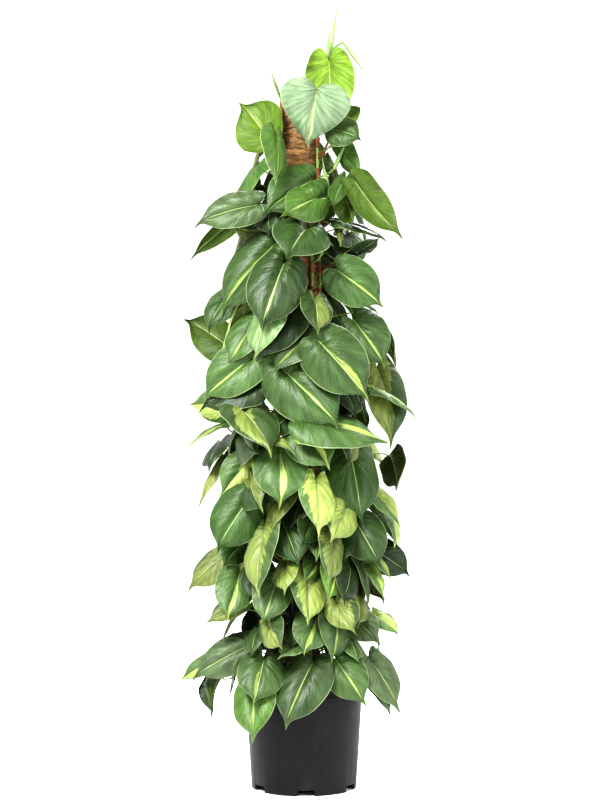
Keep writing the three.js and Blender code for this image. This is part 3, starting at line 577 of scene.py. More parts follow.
def petiole_controls(leaf, vine, rise, end):
    """The stalk's curve: out of the stem and up, then straight into the back of the blade."""
    reach = from_axis(leaf.base) - COIR_RADIUS
    lowest, highest = SOIL_TOP + PETIOLE_LOWEST, VINE_TOPS[vine] - BELOW_TOP
    height = clamp(leaf.base[2] - rise * reach, lowest, highest)
    node = stem_point(vine, height)
    span = float(np.linalg.norm(node - end))
    outward = unit((node - axis_at(height)) * (1, 1, 0))
    faces = -1 if leaf.face @ leaf.out < 0 else 1
    lifted = node + outward * 0.35 * span + np.array([0, 0, 0.3 * span])
    return node, lifted, end - leaf.face * 0.35 * span * faces, end


def read_vines():
    """The corners of each climbing stem's packed solid, in millimetres."""
    corners = []
    for vine in range(len(VINE_TURNS)):
        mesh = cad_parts[f"vine_{vine + 1}"].data
        found = np.empty(len(mesh.vertices) * 3, np.float32)
        mesh.vertices.foreach_get("co", found)
        corners.append(np.unique(found.reshape(-1, 3).astype(float).round(6), axis=0) * 1000)
    return corners


def distance_to_line(points, start, end):
    way = end - start
    share = np.clip(((points - start) @ way) / (way @ way), 0, 1)
    return np.linalg.norm(points - start - share[:, None] * way, axis=1)


def own_rise(leaf, vine, corners):
    """Which of the part's rises the leaf's packed stalk has, told by the corners round its own curve."""
    best, most = RISES[0], 0
    for rise in RISES:
        controls = petiole_controls(leaf, vine, rise, leaf.stalk_place())
        short = np.linalg.norm(controls[3] - controls[0]) < PETIOLE_SHORT
        steps = np.linspace(0, 1, STALK_STEPS)
        path = bezier(controls, steps)
        run = np.concatenate([[0], np.cumsum(np.linalg.norm(np.diff(path, axis=0), axis=1))])
        middle = bezier(controls, np.interp(run[-1] / 2, run, steps))
        line = [path[0], path[-1]] if short else [path[0], middle, path[-1]]
        score = 0
        for start, end in zip(line, line[1:]):
            score += (np.abs(distance_to_line(corners, start, end) - PETIOLE_RADIUS) < STALK_NEAR).sum()
        if not short:
            apart = np.linalg.norm(corners - middle, axis=1)
            score += 4 * (np.abs(apart - PETIOLE_RADIUS) < STALK_NEAR).sum()
        if score > most:
            best, most = rise, score
    return best


def place_leaves():
    """Every leaf with its stem and its stalk's rise, as the packed solids have them."""
    draw = Draw()
    leaves = [front_leaf(row, draw) for row in FRONT_LEAVES]
    crown = Crown(leaves + [back_leaf(index, draw) for index in range(BACK_COUNT)])
    crown.settle()
    corners = read_vines()
    tree = KDTree(sum(len(found) for found in corners))
    owner = []
    for vine, found in enumerate(corners):
        for place in found:
            tree.insert(place, len(owner))
            owner.append(vine)
    tree.balance()
    placed = []
    for row in range(len(crown.length)):
        best = (0, 0, 0)
        for nudge in NUDGES:
            votes = [0] * len(corners)
            for place in Leaf(crown, row, nudge).corners():
                _, index, distance = tree.find(place)
                if distance < BLADE_NEAR:
                    votes[owner[index]] += 1
            told = max(votes), -abs(nudge), nudge, votes.index(max(votes))
            best = max(best, told, key=lambda found: found[:2])
        if best[0] < LEAST_FOUND:
            continue
        leaf = Leaf(crown, row, best[2])
        placed.append((leaf, best[3], own_rise(leaf, best[3], corners[best[3]])))
    return placed


# Meshes.


class Shells:
    """Closed shells that are gathered into one mesh, with their finishes and their leaf patterns."""

    def __init__(self):
        self.points, self.faces, self.slots, self.count = [], [], [], 0
        self.patterns = {"blade": [], "marking": [], "tone": []}

    def add(self, points, faces, slot=0, blade=(0, 0, 0), marking=(0, 0, 0), tone=(0, 0, 0)):
        points = np.asarray(points, float)
        self.points.append(points)
        self.faces += [tuple(corner + self.count for corner in face) for face in faces]
        self.slots += [slot] * len(faces) if isinstance(slot, int) else slot
        for key, values in zip(self.patterns, (blade, marking, tone)):
            self.patterns[key].append(np.broadcast_to(values, points.shape))
        self.count += len(points)

    def build(self, name, materials, patterned=False, sharp=50):
        mesh = bpy.data.meshes.new(name)
        low, high = np.array(CAD_BOX, float)
        inset = BOX_INSET, BOX_INSET, 0
        points = np.clip(np.concatenate(self.points) / 1000, low + inset, high - BOX_INSET)
        mesh.from_pydata(points.tolist(), [], self.faces)
        for material in materials:
            mesh.materials.append(material)
        mesh.polygons.foreach_set("material_index", self.slots)
        mesh.polygons.foreach_set("use_smooth", [True] * len(self.faces))
        for key in self.patterns if patterned else ():
            values = np.concatenate(self.patterns[key]).astype(np.float32)
            mesh.attributes.new(key, "FLOAT_VECTOR", "POINT").data.foreach_set("vector", values.ravel())
        mesh.set_sharp_from_angle(angle=math.radians(sharp))
        mesh.update()
        return link(name, mesh)


def link(name, data):
    made = bpy.data.objects.new(name, data)
    bpy.context.scene.collection.objects.link(made)
    return made


def finish(made, slot, *nodes):
    """Puts a piece on the part's one body and hides the nodes that it stands for; slot, the finish that it
    takes, is not used.
    """
    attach(made, "root")
    if nodes:
        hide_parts(*nodes)


def one_shell(name, shape, material, sharp):
    """A piece that is one closed shell, without the points that no face uses."""
    shells = Shells()
    shells.add(*shape)
    made = shells.build(name, [material], sharp=sharp)
    shape = bmesh.new()
    shape.from_mesh(made.data)
    bmesh.ops.delete(shape, geom=[v for v in shape.verts if not v.link_faces], context="VERTS")
    shape.to_mesh(made.data)
    shape.free()
    return made


def skin_of(made, name, keep):
    """A mesh of those faces of a piece that keep picks, to strew copies over."""
    mesh = bpy.data.meshes.new(name)
    faces = [face.vertices[:] for face in made.data.polygons if keep(face)]
    mesh.from_pydata([vertex.co[:] for vertex in made.data.vertices], [], faces)
    return mesh


def ring_faces(rings, sides):
    """The faces between rings of points, each ring joined to the next."""
    faces = []
    for start in range(0, (rings - 1) * sides, sides):
        for j in range(sides):
            here, onward = start + j, start + (j + 1) % sides
            faces.append((here, onward, onward + sides, here + sides))
    return faces


def tube(path, radii, sides):
    """A round tube along a path, closed at both ends."""
    path = np.asarray(path, float)
    ways = unit(np.gradient(path, axis=0))
    side = unit(np.cross(ways[0], ASKEW))
    turn = np.linspace(0, 2 * math.pi, sides, endpoint=False)[:, None]
    rings = []
    for place, way, radius in zip(path, ways, np.broadcast_to(radii, len(path))):
        side = unit(side - way * (side @ way))
        rings.append(place + radius * (np.cos(turn) * side + np.sin(turn) * np.cross(way, side)))
    points = np.concatenate([*rings, path[:1], path[-1:]])
    faces = ring_faces(len(path), sides)
    last, start, end = (len(path) - 1) * sides, len(points) - 2, len(points) - 1
    for j in range(sides):
        faces.append((start, (j + 1) % sides, j))
        faces.append((end, last + j, last + (j + 1) % sides))
    return points, faces


def lathe(profile, turns, closed=False):
    """A profile of (radius, height) turned about the upright axis. It starts and ends there, or is closed."""
    profile, turns = np.asarray(profile, float), np.radians(np.asarray(turns, float))
    ways = np.stack([np.sin(turns), -np.cos(turns), 0 * turns], -1)
    points = ways[:, None] * profile[None, :, :1] + np.array([0, 0, 1]) * profile[None, :, 1:]
    columns, rows = len(turns), len(profile)
    faces = []
    for j in range(columns):
        here, beside = j * rows, (j + 1) % columns * rows
        for i in range(rows if closed else rows - 1):
            up = (i + 1) % rows
            if profile[i, 0] and profile[up, 0]:
                faces.append((here + i, beside + i, beside + up, here + up))
            elif profile[up, 0]:
                faces.append((here + i, beside + up, here + up))
            elif profile[i, 0]:
                faces.append((here + i, beside + i, here + up))
    if not closed:
        joined = {j * rows + end: end for j in range(columns) for end in (0, rows - 1)}
        faces = [tuple(joined.get(corner, corner) for corner in face) for face in faces]
    return points.reshape(-1, 3), faces


def leaning(points):
    """Turns upright points to stand along the pole's leaning axis."""
    cos, sin = math.cos(math.radians(COIR_LEAN)), math.sin(math.radians(COIR_LEAN))
    x, y, z = (points - (0, 0, SOIL_TOP)).T
    return np.stack([x * cos - z * sin, y, x * sin + z * cos + SOIL_TOP], -1)


def noise_at(points, scale, seed=0.0):
    """Smooth noise, -1 to 1, that repeats alike at each run."""
    return np.array([noise.noise(Vector(point) * scale + Vector((seed, seed, seed))) for point in points])


# Nodes and materials.


def linear(colour):
    """An sRGB hex colour as the linear one that the sockets take."""
    values = (int(colour[i : i + 2], 16) / 255 for i in (1, 3, 5))
    return tuple(v / 12.92 if v <= 0.04045 else ((v + 0.055) / 1.055) ** 2.4 for v in values) + (1.0,)


def add(tree, kind, inputs=(), **settings):
    """Adds a node and fills its inputs with values, hex colours and other nodes' outputs."""
    node = tree.nodes.new(kind)
    for name, value in settings.items():
        setattr(node, name, value)
    for key, value in dict(inputs).items():
        if isinstance(value, Wire):
            tree.links.new(value.socket, node.inputs[key])
        else:
            node.inputs[key].default_value = linear(value) if str(value)[:1] == "#" else value
    wires = [Wire(socket) for socket in node.outputs]
    return {**dict(enumerate(wires)), **dict(zip(node.outputs.keys(), wires))}


class Wire:
    """One output of a node. Reckoning with it adds the nodes that do so."""

    def __init__(self, socket):
        self.socket = socket

    def then(self, kind, inputs, **settings):
        return add(self.socket.id_data, kind, inputs, **settings)[0]

    def maths(self, operation, *others):
        return self.then("ShaderNodeMath", enumerate((self, *others)), operation=operation)

    def __add__(self, other):
        return self.maths("ADD", other)

    def __sub__(self, other):
        return self.maths("SUBTRACT", other)

    def __rsub__(self, other):
        return self.then("ShaderNodeMath", {0: other, 1: self}, operation="SUBTRACT")

    def __mul__(self, other):
        return self.maths("MULTIPLY", other)

    def __abs__(self):
        return self.maths("ABSOLUTE")

    def step(self, low, high):
        """A smooth rise from 0 at low to 1 at high."""
        inputs = {"Value": self, "From Min": low, "From Max": high}
        return self.then("ShaderNodeMapRange", inputs, interpolation_type="SMOOTHSTEP")

    def mix(self, first, second):
        """The first colour where this is 0, the second where it is 1."""
        return add(self.socket.id_data, "ShaderNodeMix", {0: self, 6: first, 7: second}, data_type="RGBA")[2]

    def scaled(self, factor):
        return self.then("ShaderNodeVectorMath", {0: self, "Scale": factor}, operation="SCALE")

    def stretched(self, *scale):
        return self.then("ShaderNodeMapping", {"Vector": self, "Scale": scale})

    def noise(self, scale, detail, **more):
        return self.then("ShaderNodeTexNoise", {"Vector": self, "Scale": scale, "Detail": detail, **more})

    def bump(self, strength, distance):
        return self.then("ShaderNodeBump", {"Height": self, "Strength": strength, "Distance": distance})

    def beside(self, y, z=0.0):
        """The place with this as its x."""
        return self.then("ShaderNodeCombineXYZ", {0: self, 1: y, 2: z})

    def split(self):
        parts = add(self.socket.id_data, "ShaderNodeSeparateXYZ", {0: self})
        return [parts[index] for index in range(3)]


def new_material(name):
    material = bpy.data.materials.new(name)
    material.use_nodes = True
    material.node_tree.nodes.clear()
    return material


def place_on(material):
    return add(material.node_tree, "ShaderNodeTexCoord")["Object"]


def carried(material, name, output="Vector"):
    """What the mesh itself carries under a name."""
    return add(material.node_tree, "ShaderNodeAttribute", attribute_name=name)[output]


def close_material(material, colour, roughness, normal=None, **sockets):
    """The surface shader: what varies is a node's output, and what doesn't is set on the shader itself."""
    inputs = {"Base Color": colour, "Roughness": roughness, **sockets}
    if normal is not None:
        inputs["Normal"] = normal
    shader = add(material.node_tree, "ShaderNodeBsdfPrincipled", inputs)
    add(material.node_tree, "ShaderNodeOutputMaterial", {"Surface": shader[0]})
    return material


def leaf_material(name, greens, band, edge, roughness, line):
    """A living leaf: waxy skin, so softly glossy, with feathered lime bands that run with the side veins.

    greens are the dark and the glaucous green and the light young one, band the lime's two tints, edge the
    midrib's and margin's pale green, and line how plainly the veins are drawn.
    """
    material = new_material(name)
    blade, marking, tone = (carried(material, key).split() for key in ("blade", "marking", "tone"))
    share, at, vein = blade
    width, leaves, widening = marking
    glaucous, light, shade = tone
    wide, veins = abs(share), vein * 9.0
    feather = veins.beside(share * 1.6).noise(1.0, 6.0, Roughness=0.68)
    cloud = (vein * 2.0).beside(share * 1.5).noise(1.0, 3.0)
    crease = (vein * 6.5).beside(share * 2.0, 5.0).noise(1.0, 3.5, Roughness=0.5)
    # The lime band: a hair line at the stalk, wider and further off the midrib towards the tip.
    grown = at.step(0.2, 0.8)
    half = width + widening * grown
    off = abs(share - leaves * at.step(0.0, 0.5))
    ragged = (feather - 0.5) * ((half + grown * widening) * 1.3)
    drip = at.step(0.86, 1.0) * (width * 50.0).maths("MINIMUM", 1.0)
    inside = half - off + ragged + drip
    # The green: darker or more glaucous from leaf to leaf, and cloudy, with a lighter fringe along the band.
    green = (glaucous + (feather - 0.5) * (glaucous * 1.5)).mix(greens[0], greens[1])
    green = light.mix(green, greens[2])
    green = ((cloud - 0.5) * 0.9 * 0.5 + 0.06).mix(green, greens[1])
    green = (inside.step(-0.12, 0.02) * 0.4).mix(green, greens[2])
    # The most glaucous leaf of all is sage, with a cream splash.
    sage = glaucous.step(0.96, 1.0)
    green = sage.mix(green, "#6a7d60")
    bright = sage.mix(feather.mix(*band), edge)
    colour = inside.step(-0.01, 0.015).mix(green, bright)
    # The colour is scaled by the leaf's tone. Painted shade darkens it beside each side vein, and painted
    # light brightens it where it swells.
    turned = abs(veins.maths("FRACT") - 0.5)
    # The hollow beside each side vein, which takes painted shade.
    vein_hollow_shade = turned.step(0.22, 0.44) * (1.0 - turned.step(0.45, 0.49))
    grooves = 1.0 - vein_hollow_shade * (cloud * 0.5)
    # swells is painted light on the crests and painted shade in the creases, from the noise that also bumps
    # the normal.
    swells = crease * 1.5 + feather * 0.7
    colour = colour.scaled(shade * (swells * grooves))
    # The veins: faint side veins, a pale midrib, and a fine pale margin.
    midrib = (1.0 - wide.step(0.008, 0.026)) * at.step(1.0, 0.7)
    for drawn in (turned.step(0.44, 0.5) * line, midrib * 0.85, wide.step(0.968, 0.992) * 0.55):
        colour = drawn.mix(colour, edge)
    # The creases between the side veins, finer than the mesh draws them.
    normal = (crease + feather * 0.25).bump(0.8, 0.005)
    gloss = {"IOR": PLANT_IOR, "Specular IOR Level": 0.42}
    return close_material(material, colour, cloud * 0.2 + roughness, normal, **gloss)


def stem_material():
    """A soft green stem: matt skin, patchy light and darker green, with fine lengthwise streaks."""
    material = new_material("philodendron_stem")
    place = place_on(material)
    fine = place.stretched(1.0, 1.0, 0.08).noise(420.0, 3.0)
    colour = place.noise(16.0, 2.0).step(0.35, 0.7).mix("#58752f", "#8aa25a")
    colour = (fine * 0.4).mix(colour, "#334e22")
    return close_material(material, colour, 0.5, fine.bump(0.3, 0.0005), IOR=PLANT_IOR)


def spear_material():
    """A leaf that is still rolled: smooth young skin in cloudy bands of pale green, darker on the dark ones.
    """
    material = new_material("rolled_young_leaf")
    around, along, own = carried(material, "blade").split()
    band = (around * 5.0).beside(along * 2.0, own).noise(1.0, 3.0)
    pale = band.step(0.42, 0.58).mix("#66804a", "#8f9c66")
    dark = carried(material, "tone").split()[0]
    return close_material(material, dark.mix(pale, "#5a6d2c"), 0.4, IOR=PLANT_IOR)


def sheath_material():
    """Dried bud sheaths and clinging roots: papery and woody brown, so matt and streaky."""
    material = new_material("dried_sheath")
    grain = place_on(material).stretched(1.0, 1.0, 0.15).noise(700.0, 3.0)
    return close_material(material, grain.mix("#4a2a14", "#8a5a30"), 0.85, grain.bump(0.4, 0.0005))


def pot_material(colour, roughness):
    """Recycled black polypropylene, injection moulded: satin, a little dusty, with faint rub marks, and
    lighter sharp edges from wear and a painted highlight.
    """
    material = new_material("moulded_polypropylene")
    place = place_on(material)
    dust = place.noise(28.0, 6.0, Roughness=0.65)
    rub = place.stretched(1.0, 1.0, 0.05).noise(260.0, 2.0)
    # A grain of 0.6 mm, coarser than the mould's own, so that it shows.
    grain = place.noise(1600.0, 1.0)
    wear_and_edge_highlight = add(material.node_tree, "ShaderNodeNewGeometry")["Pointiness"]
    colour = (dust.step(0.45, 0.75) * 0.28).mix(colour, "#262523")
    colour = (rub.step(0.58, 0.8) * 0.22).mix(colour, "#2c2b29")
    # Sharp edges such as the collar's lip are lighter: partly wear, partly a painted highlight.
    colour = (wear_and_edge_highlight.step(0.52, 0.6) * 0.35).mix(colour, "#3b3935")
    gloss = {"Specular IOR Level": 0.22}
    return close_material(material, colour, dust * 0.25 + roughness, grain.bump(0.12, 0.0004), **gloss)


def coir_material(light, dark):
    """Bound coconut fibre: dull dry threads, golden where they stand out, with painted shade nearly black
    between them.
    """
    material = new_material("coconut_coir")
    flat = place_on(material).stretched(0.25, 0.25, 1.0)
    shade = flat.noise(900.0, 4.0, Roughness=0.7) * 0.6 + flat.noise(120.0, 3.0) * 0.4
    # Where the bump is low, the dark colour is painted shade in the gaps between the threads.
    return close_material(material, shade.step(0.36, 0.64).mix(dark, light), 0.92, shade.bump(0.8, 0.0015))


def fibre_material(light):
    """Loose coir threads: dry husk fibre, each a little lighter or darker than its neighbours."""
    material = new_material("coir_thread")
    return close_material(material, carried(material, "tint", "Fac").mix("#452a15", light), 0.9)


def soil_material():
    """Peat and bark potting mix: damp and crumbly, with no gloss."""
    material = new_material("potting_mix")
    place = place_on(material)
    crumb = place.then("ShaderNodeTexVoronoi", {"Vector": place, "Scale": 260.0})
    colour = place.noise(60.0, 4.0).mix("#120c08", "#2e2117")
    return close_material(material, (crumb * 0.6).mix(colour, "#453324"), 0.95, crumb.bump(0.8, 0.002))


def crumb_material():
    """Loose bark chips with a few grains of white perlite."""
    material = new_material("bark_and_perlite")
    tint = carried(material, "tint", "Fac")
    bark = tint.mix("#160e09", "#453020")
    return close_material(material, tint.step(0.95, 0.96).mix(bark, "#908c84"), 0.93)


def wood_material():
    """A turned pine stake: pale straight grain, unfinished and matt."""
    material = new_material("pine_stake")
    grain = place_on(material).stretched(1.0, 1.0, 0.04).noise(380.0, 4.0, Distortion=0.6)
    colour = grain.step(0.38, 0.66).mix("#5e4326", "#8a6c46")
    return close_material(material, colour, 0.75, grain.bump(0.3, 0.0006))


def tie_material(colour):
    """Split raffia: a dry palm ribbon with lengthwise ribs and a faint sheen."""
    material = new_material("raffia_ribbon")
    ribs = carried(material, "blade").stretched(9.0, 1.5, 1.0).noise(1.0, 4.0)
    return close_material(material, ribs.step(0.3, 0.7).mix("#6e3e1d", colour), 0.6, ribs.bump(0.5, 0.0006))


# Blades, stalks and stems.


def blade_faces(down, across):
    """The faces and finishes of a blade's two skins and its rim, for rows that end in one tip point."""
    tip = down * across
    count, faces, slots = tip + 1, [], []
    for i in range(down):
        for j in range(across - 1):
            here, below = i * across + j, (i + 1) * across + j
            quad = (here, below, below + 1, here + 1) if i < down - 1 else (here, tip, here + 1)
            faces += [quad, tuple(corner + count for corner in reversed(quad))]
            slots += [UPPER_SKIN, LOWER_SKIN]
    left = [i * across for i in range(down)] + [tip]
    right = [i * across + across - 1 for i in reversed(range(down))]
    rim = left + right + list(range(across - 2, 0, -1))
    for here, onward in zip(rim, rim[1:] + rim[:1]):
        faces.append((here + count, onward + count, onward, here))
        slots.append(UPPER_SKIN)
    return faces, slots


def blade_look(leaf, letter, seed):
    """The leaf's marking and its tone: how glaucous it is, how light, and how bright, with painted shade on
    the leaves inside the crown.
    """
    band, off, widening, glaucous, light = MARKINGS[letter]
    # Sines of the leaf's number stand in for draws, so that each leaf differs in its own way.
    change = math.sin(seed * 12.9898) * 0.5 + 0.5
    way = -1 if leaf.mark.endswith("-") else 1
    marking = (band * (0.8 + 0.4 * change), off * way, widening * (0.7 + 0.6 * change))
    # The young leaves at the top are lighter. The leaves inside the crown, near the pole, are darkened with
    # painted shade, which the top ones are spared.
    middle = (leaf.base + leaf.tip) / 2
    inner = from_axis(middle) / crown_share(middle[2])
    rise = clamp((middle[2] - YOUNG_FROM) / YOUNG_SPAN)
    shade = max(clamp((inner - INNER_FROM) / INNER_SPAN, DEEPEST_PAINTED_SHADE), 0.8 * rise)
    shade *= 0.34 + 0.56 * (math.sin(seed * 78.233) * 0.5 + 0.5)
    shade = OWN_SHADES.get(letter, shade)
    glaucous += 0.0 if letter == "d" else 0.2 * math.sin(seed * 37.719) ** 2
    light += 0.5 * rise
    return marking, (clamp(glaucous), clamp(light), shade + 0.15 * rise)


def add_blade(shells, leaf, seed, settings):
    """A heart-shaped blade as a closed thin shell, with the part's outline and arch, drawn fine."""
    side = np.linspace(0, 1, settings.columns // 2 + 1) ** 0.9
    share = np.concatenate([-side[:0:-1], side])
    at = np.interp(np.linspace(0, 1, settings.rows + 1), (0, 0.25, 0.7, 1), (0, 0.17, 0.78, 1))[:-1]
    faces, slots = blade_faces(len(at), len(share))
    at, share = np.meshgrid(at, share, indexing="ij")
    at, share = np.append(at.ravel(), 1.0), np.append(share.ravel(), 0.0)
    wide = np.abs(share)
    letter = leaf.mark[0]
    phase = seed * 2.399
    # The lobes are round behind, and the drip tip is drawn out.
    wave = np.sin(math.pi * wide**0.8)
    lobe = np.where(wide > 0.42, np.abs(wave) ** 0.65, wave)
    swept = OWN_LOBES.get(letter, FINE_LOBE) * (1 - at) ** 4 * lobe
    young, narrow = OWN_NARROWED.get(letter, NARROWED) + 0.25 * math.sin(phase * 5), OUTLINE_YOUNG
    if letter == "t":
        young, narrow = 1, OUTLINE_ARROW
    full, narrow = (np.interp(at, OUTLINE_AT, outline) for outline in (OUTLINE_FULL, narrow))
    half = leaf.width / 2 * ((1 - young) * full + young * narrow)
    fold = (0.08 + 0.14 * math.sin(phase * 7)) * half * wide * (1 - 0.5 * at)
    # The side veins fan out from the notch and sweep forward. The blade swells between them, and sinks at the
    # midrib.
    x, y = half * wide, leaf.length * (at - swept)
    vein = np.arctan2(y - 0.5 * x * x / leaf.length, x + 0.15 * leaf.length) / 1.5
    swell = np.abs(np.sin(math.pi * 3.5 * vein + 0.3 * math.sin(phase))) ** 0.7 - 0.6
    quilt = settings.quilting * 1000 * leaf.length / 110 * swell
    quilt *= np.clip(wide / 0.2, 0, 1) * (1 - wide**3) * (1 - at) ** 0.4
    lap = 2 * math.pi * (2.3 * at + 0.35 * np.sign(share)) + phase
    ripple = settings.wave * 1000 * wide**3 * np.sin(lap) * (1 - at)
    rounded = (np.sin(math.pi * wide**0.7) - 0.45) * (1 - at) ** 0.4 * (1 + 0.4 * (1 - at) ** 3)
    puffed = settings.puff * leaf.width * rounded
    height = relief(leaf.length, leaf.width, leaf.arch, leaf.droop, at, share)
    height = height + quilt + ripple + puffed + fold
    tail = np.clip((at - 0.8) / 0.2, 0, 1) ** 2
    bend = (0.035 * math.sin(phase * 3) - 0.05 * leaf.across[2]) * leaf.length * tail
    height -= 0.04 * leaf.length * tail * (0.5 + math.cos(phase))
    sideways = half * share
    if letter == "w":
        turn = share * WITHERED_ROLL
        sideways = half * np.sin(turn) / WITHERED_ROLL
        height = height + half * (1 - np.cos(turn)) / WITHERED_ROLL
    place = leaf.base + y[:, None] * leaf.along + (sideways + bend)[:, None] * leaf.across
    half_thickness = settings.blade_thickness * 500 * (1 - 0.45 * wide**2)
    levels = height + half_thickness, height - half_thickness
    skins = [place + level[:, None] * leaf.face for level in levels]
    blade = np.stack([share, at, vein + 3 * seed], -1)
    shells.add(np.concatenate(skins), faces, slots, np.tile(blade, (2, 1)), *blade_look(leaf, letter, seed))


def add_petiole(shells, leaf, vine, rise):
    """The leaf's stalk, a little thicker where it leaves the stem, up to the blade's notch."""
    notch = leaf.point(0.035, 0.0, -0.5 - 0.012 * leaf.width)
    controls = petiole_controls(leaf, vine, rise, notch)
    t = np.linspace(0, 1, 12 if np.linalg.norm(controls[3] - controls[0]) > 35 else 7)
    radii = PETIOLE_RADIUS * (1.25 - 0.45 * np.minimum(t * 4, 1) + 0.15 * np.clip((t - 0.8) / 0.2, 0, 1))
    shells.add(*tube(bezier(controls, t), radii, 7), GREEN_SKIN)
    # A dried sheath clasps the stalk's foot.
    foot = bezier(controls, np.array([0.0, 0.05, 0.12, 0.2]))
    shells.add(*tube(foot, (3.2, 3.0, 2.4, 1.8), 7), DRIED_SKIN)


def add_stem(shells, vine, spread):
    """A climbing stem with swollen joints, each with a pair of roots that cling to the coir."""
    top = VINE_TOPS[vine]
    heights = np.append(np.arange(SOIL_TOP - ROOT_DEPTH, top, STEM_STEP), top)
    joint = np.abs(((heights - SOIL_TOP + 17 * vine) / spread) % 1 - 0.5) * 2
    radii = STEM_RADIUS * (0.86 + 0.22 * np.clip((joint - 0.75) / 0.25, 0, 1))
    radii[-3:] *= (0.9, 0.75, 0.5)
    shells.add(*tube(stem_point(vine, heights), radii, 10), GREEN_SKIN)
    t = np.linspace(0, 1, 6)
    for k, z in enumerate(np.arange(SOIL_TOP + 70, top - 10, spread)):
        for way in (-1, 1):
            turn = VINE_TURNS[vine] + sway_at(vine, z) + way * (3 + (14 + 5 * (k % 3)) * t)
            height = z + 2 * way + (4 - 7 * (k % 2)) * t
            path = around_pole(turn, COIR_RADIUS + 1.6 - 0.9 * t, height)
            shells.add(*tube(path, 1.0 - 0.6 * t, 5), DRIED_SKIN)
        # A dried sheath still clasps the stem over the joint.
        clasped = stem_point(vine, z + np.array([0.0, 4, 14, 22 + 6 * (k % 3)]))
        shells.add(*tube(clasped, (3.9, 4.5, 4.4, 3.2), 9), DRIED_SKIN)


def add_spear(vines, row, index):
    """A young leaf that is still rolled up, on its short stalk, grown from the nearest climbing stem."""
    x, z, tip_x, tip_z, radius, depth, start_at = row
    foot, tip = along_sight(x, z, depth), along_sight(tip_x, tip_z, depth + 6)
    vine = nearest_vine(foot)
    start = stem_point(vine, min(foot[2] - 12, VINE_TOPS[vine] - BELOW_TOP))
    if start_at:
        start = along_sight(*start_at, depth)
    middle = foot + (start - foot) * 0.35 + np.array([0, 0, 4 if start_at else -8])
    end = foot + (tip - foot) * 0.06
    t = np.linspace(0, 1, 10)[:, None]
    vines[vine].add(*tube(start * (1 - t) ** 2 + middle * 2 * t * (1 - t) + end * t * t, 1.9, 8), GREEN_SKIN)
    t, sides = np.linspace(0, 1, 22), 16
    aside = unit(np.cross(tip - foot, (0, 1, 0)))
    bow = np.sin(math.pi * t)[:, None] * aside * 0.012 * np.linalg.norm(tip - foot)
    path = foot + (tip - foot) * t[:, None] + bow
    swollen = np.interp(t, (0, 0.05, 0.2, 0.4, 0.62, 0.8, 1), (0.5, 0.75, 1, 1.1, 0.55, 0.28, 0.05))
    points, faces = tube(path, radius * swollen, sides)
    # The roll's free edge stands a little proud and winds once round.
    rings = points[:-2].reshape(len(path), sides, 3)
    wind = (np.arange(sides)[None] / sides + 0.35 * t[:, None]) % 1
    rings[:] = path[:, None] + (rings - path[:, None]) * (0.86 + 0.14 * wind[..., None])
    points[:-2] = rings.reshape(-1, 3)
    along, own = np.repeat(t[:, None], sides, 1), np.full(wind.shape, 7.0 * index)
    blade = np.concatenate([np.stack([wind, along, own], -1).reshape(-1, 3), [(0, 0, 0), (0, 1, 0)]])
    vines[vine].add(points, faces, ROLLED_SKIN, blade, tone=(1.0 if index in DARK_SPEARS else 0.0, 0, 0))


# Geometry Nodes.


def node_tree(name, floats, seed=None):
    """A tree with a mesh in and out and named inputs with their defaults, and the inputs' wires."""
    tree = bpy.data.node_groups.new(name, "GeometryNodeTree")
    sockets = [("Geometry", "Geometry", None)] + [(label, "Float", value) for label, value in floats]
    sockets += [("Seed", "Int", seed)] if seed else []
    for label, kind, default in sockets + [("Material", "Material", None)]:
        socket = tree.interface.new_socket(label, in_out="INPUT", socket_type="NodeSocket" + kind)
        if default is not None:
            socket.default_value = default
    tree.interface.new_socket("Geometry", in_out="OUTPUT", socket_type="NodeSocketGeometry")
    return tree, add(tree, "NodeGroupInput")


def end_tree(tree, made, material):
    """Makes the copies real, and sets the material."""
    real = made.then("GeometryNodeRealizeInstances", {"Geometry": made})
    painted = made.then("GeometryNodeSetMaterial", {"Geometry": real, "Material": material})
    add(tree, "NodeGroupOutput", {"Geometry": painted})
    return tree


def chance(tree, low, high, seed):
    """A random number or vector for each copy."""
    kind, vector = "FunctionNodeRandomValue", isinstance(low, tuple)
    if vector:
        return add(tree, kind, {0: low, 1: high, "Seed": seed}, data_type="FLOAT_VECTOR")[0]
    return add(tree, kind, {2: low, 3: high, "Seed": seed})[1]


def strew(tree, given, copy, turn, size):
    """Strews copies over a mesh, each with its size and a turn that it takes from the mesh's normal."""
    inputs = {"Mesh": given["Geometry"], "Density": given["Density"], "Seed": given["Seed"]}
    spread = add(tree, "GeometryNodeDistributePointsOnFaces", inputs)
    inputs = {"Points": spread[0], "Instance": copy, "Rotation": turn(spread["Normal"]), "Scale": size}
    placed = add(tree, "GeometryNodeInstanceOnPoints", inputs)[0]
    inputs = {"Geometry": placed, "Name": "tint", "Value": chance(tree, 0.0, 1.0, 1)}
    tinted = placed.then("GeometryNodeStoreNamedAttribute", inputs, domain="INSTANCE")
    return end_tree(tree, tinted, given["Material"])


def rope(tree, path, sides, radius):
    """A closed round rope along a curve."""
    section = add(tree, "GeometryNodeCurvePrimitiveCircle", {"Resolution": sides, "Radius": radius})[0]
    return path.then("GeometryNodeCurveToMesh", {"Curve": path, "Profile Curve": section, "Fill Caps": True})


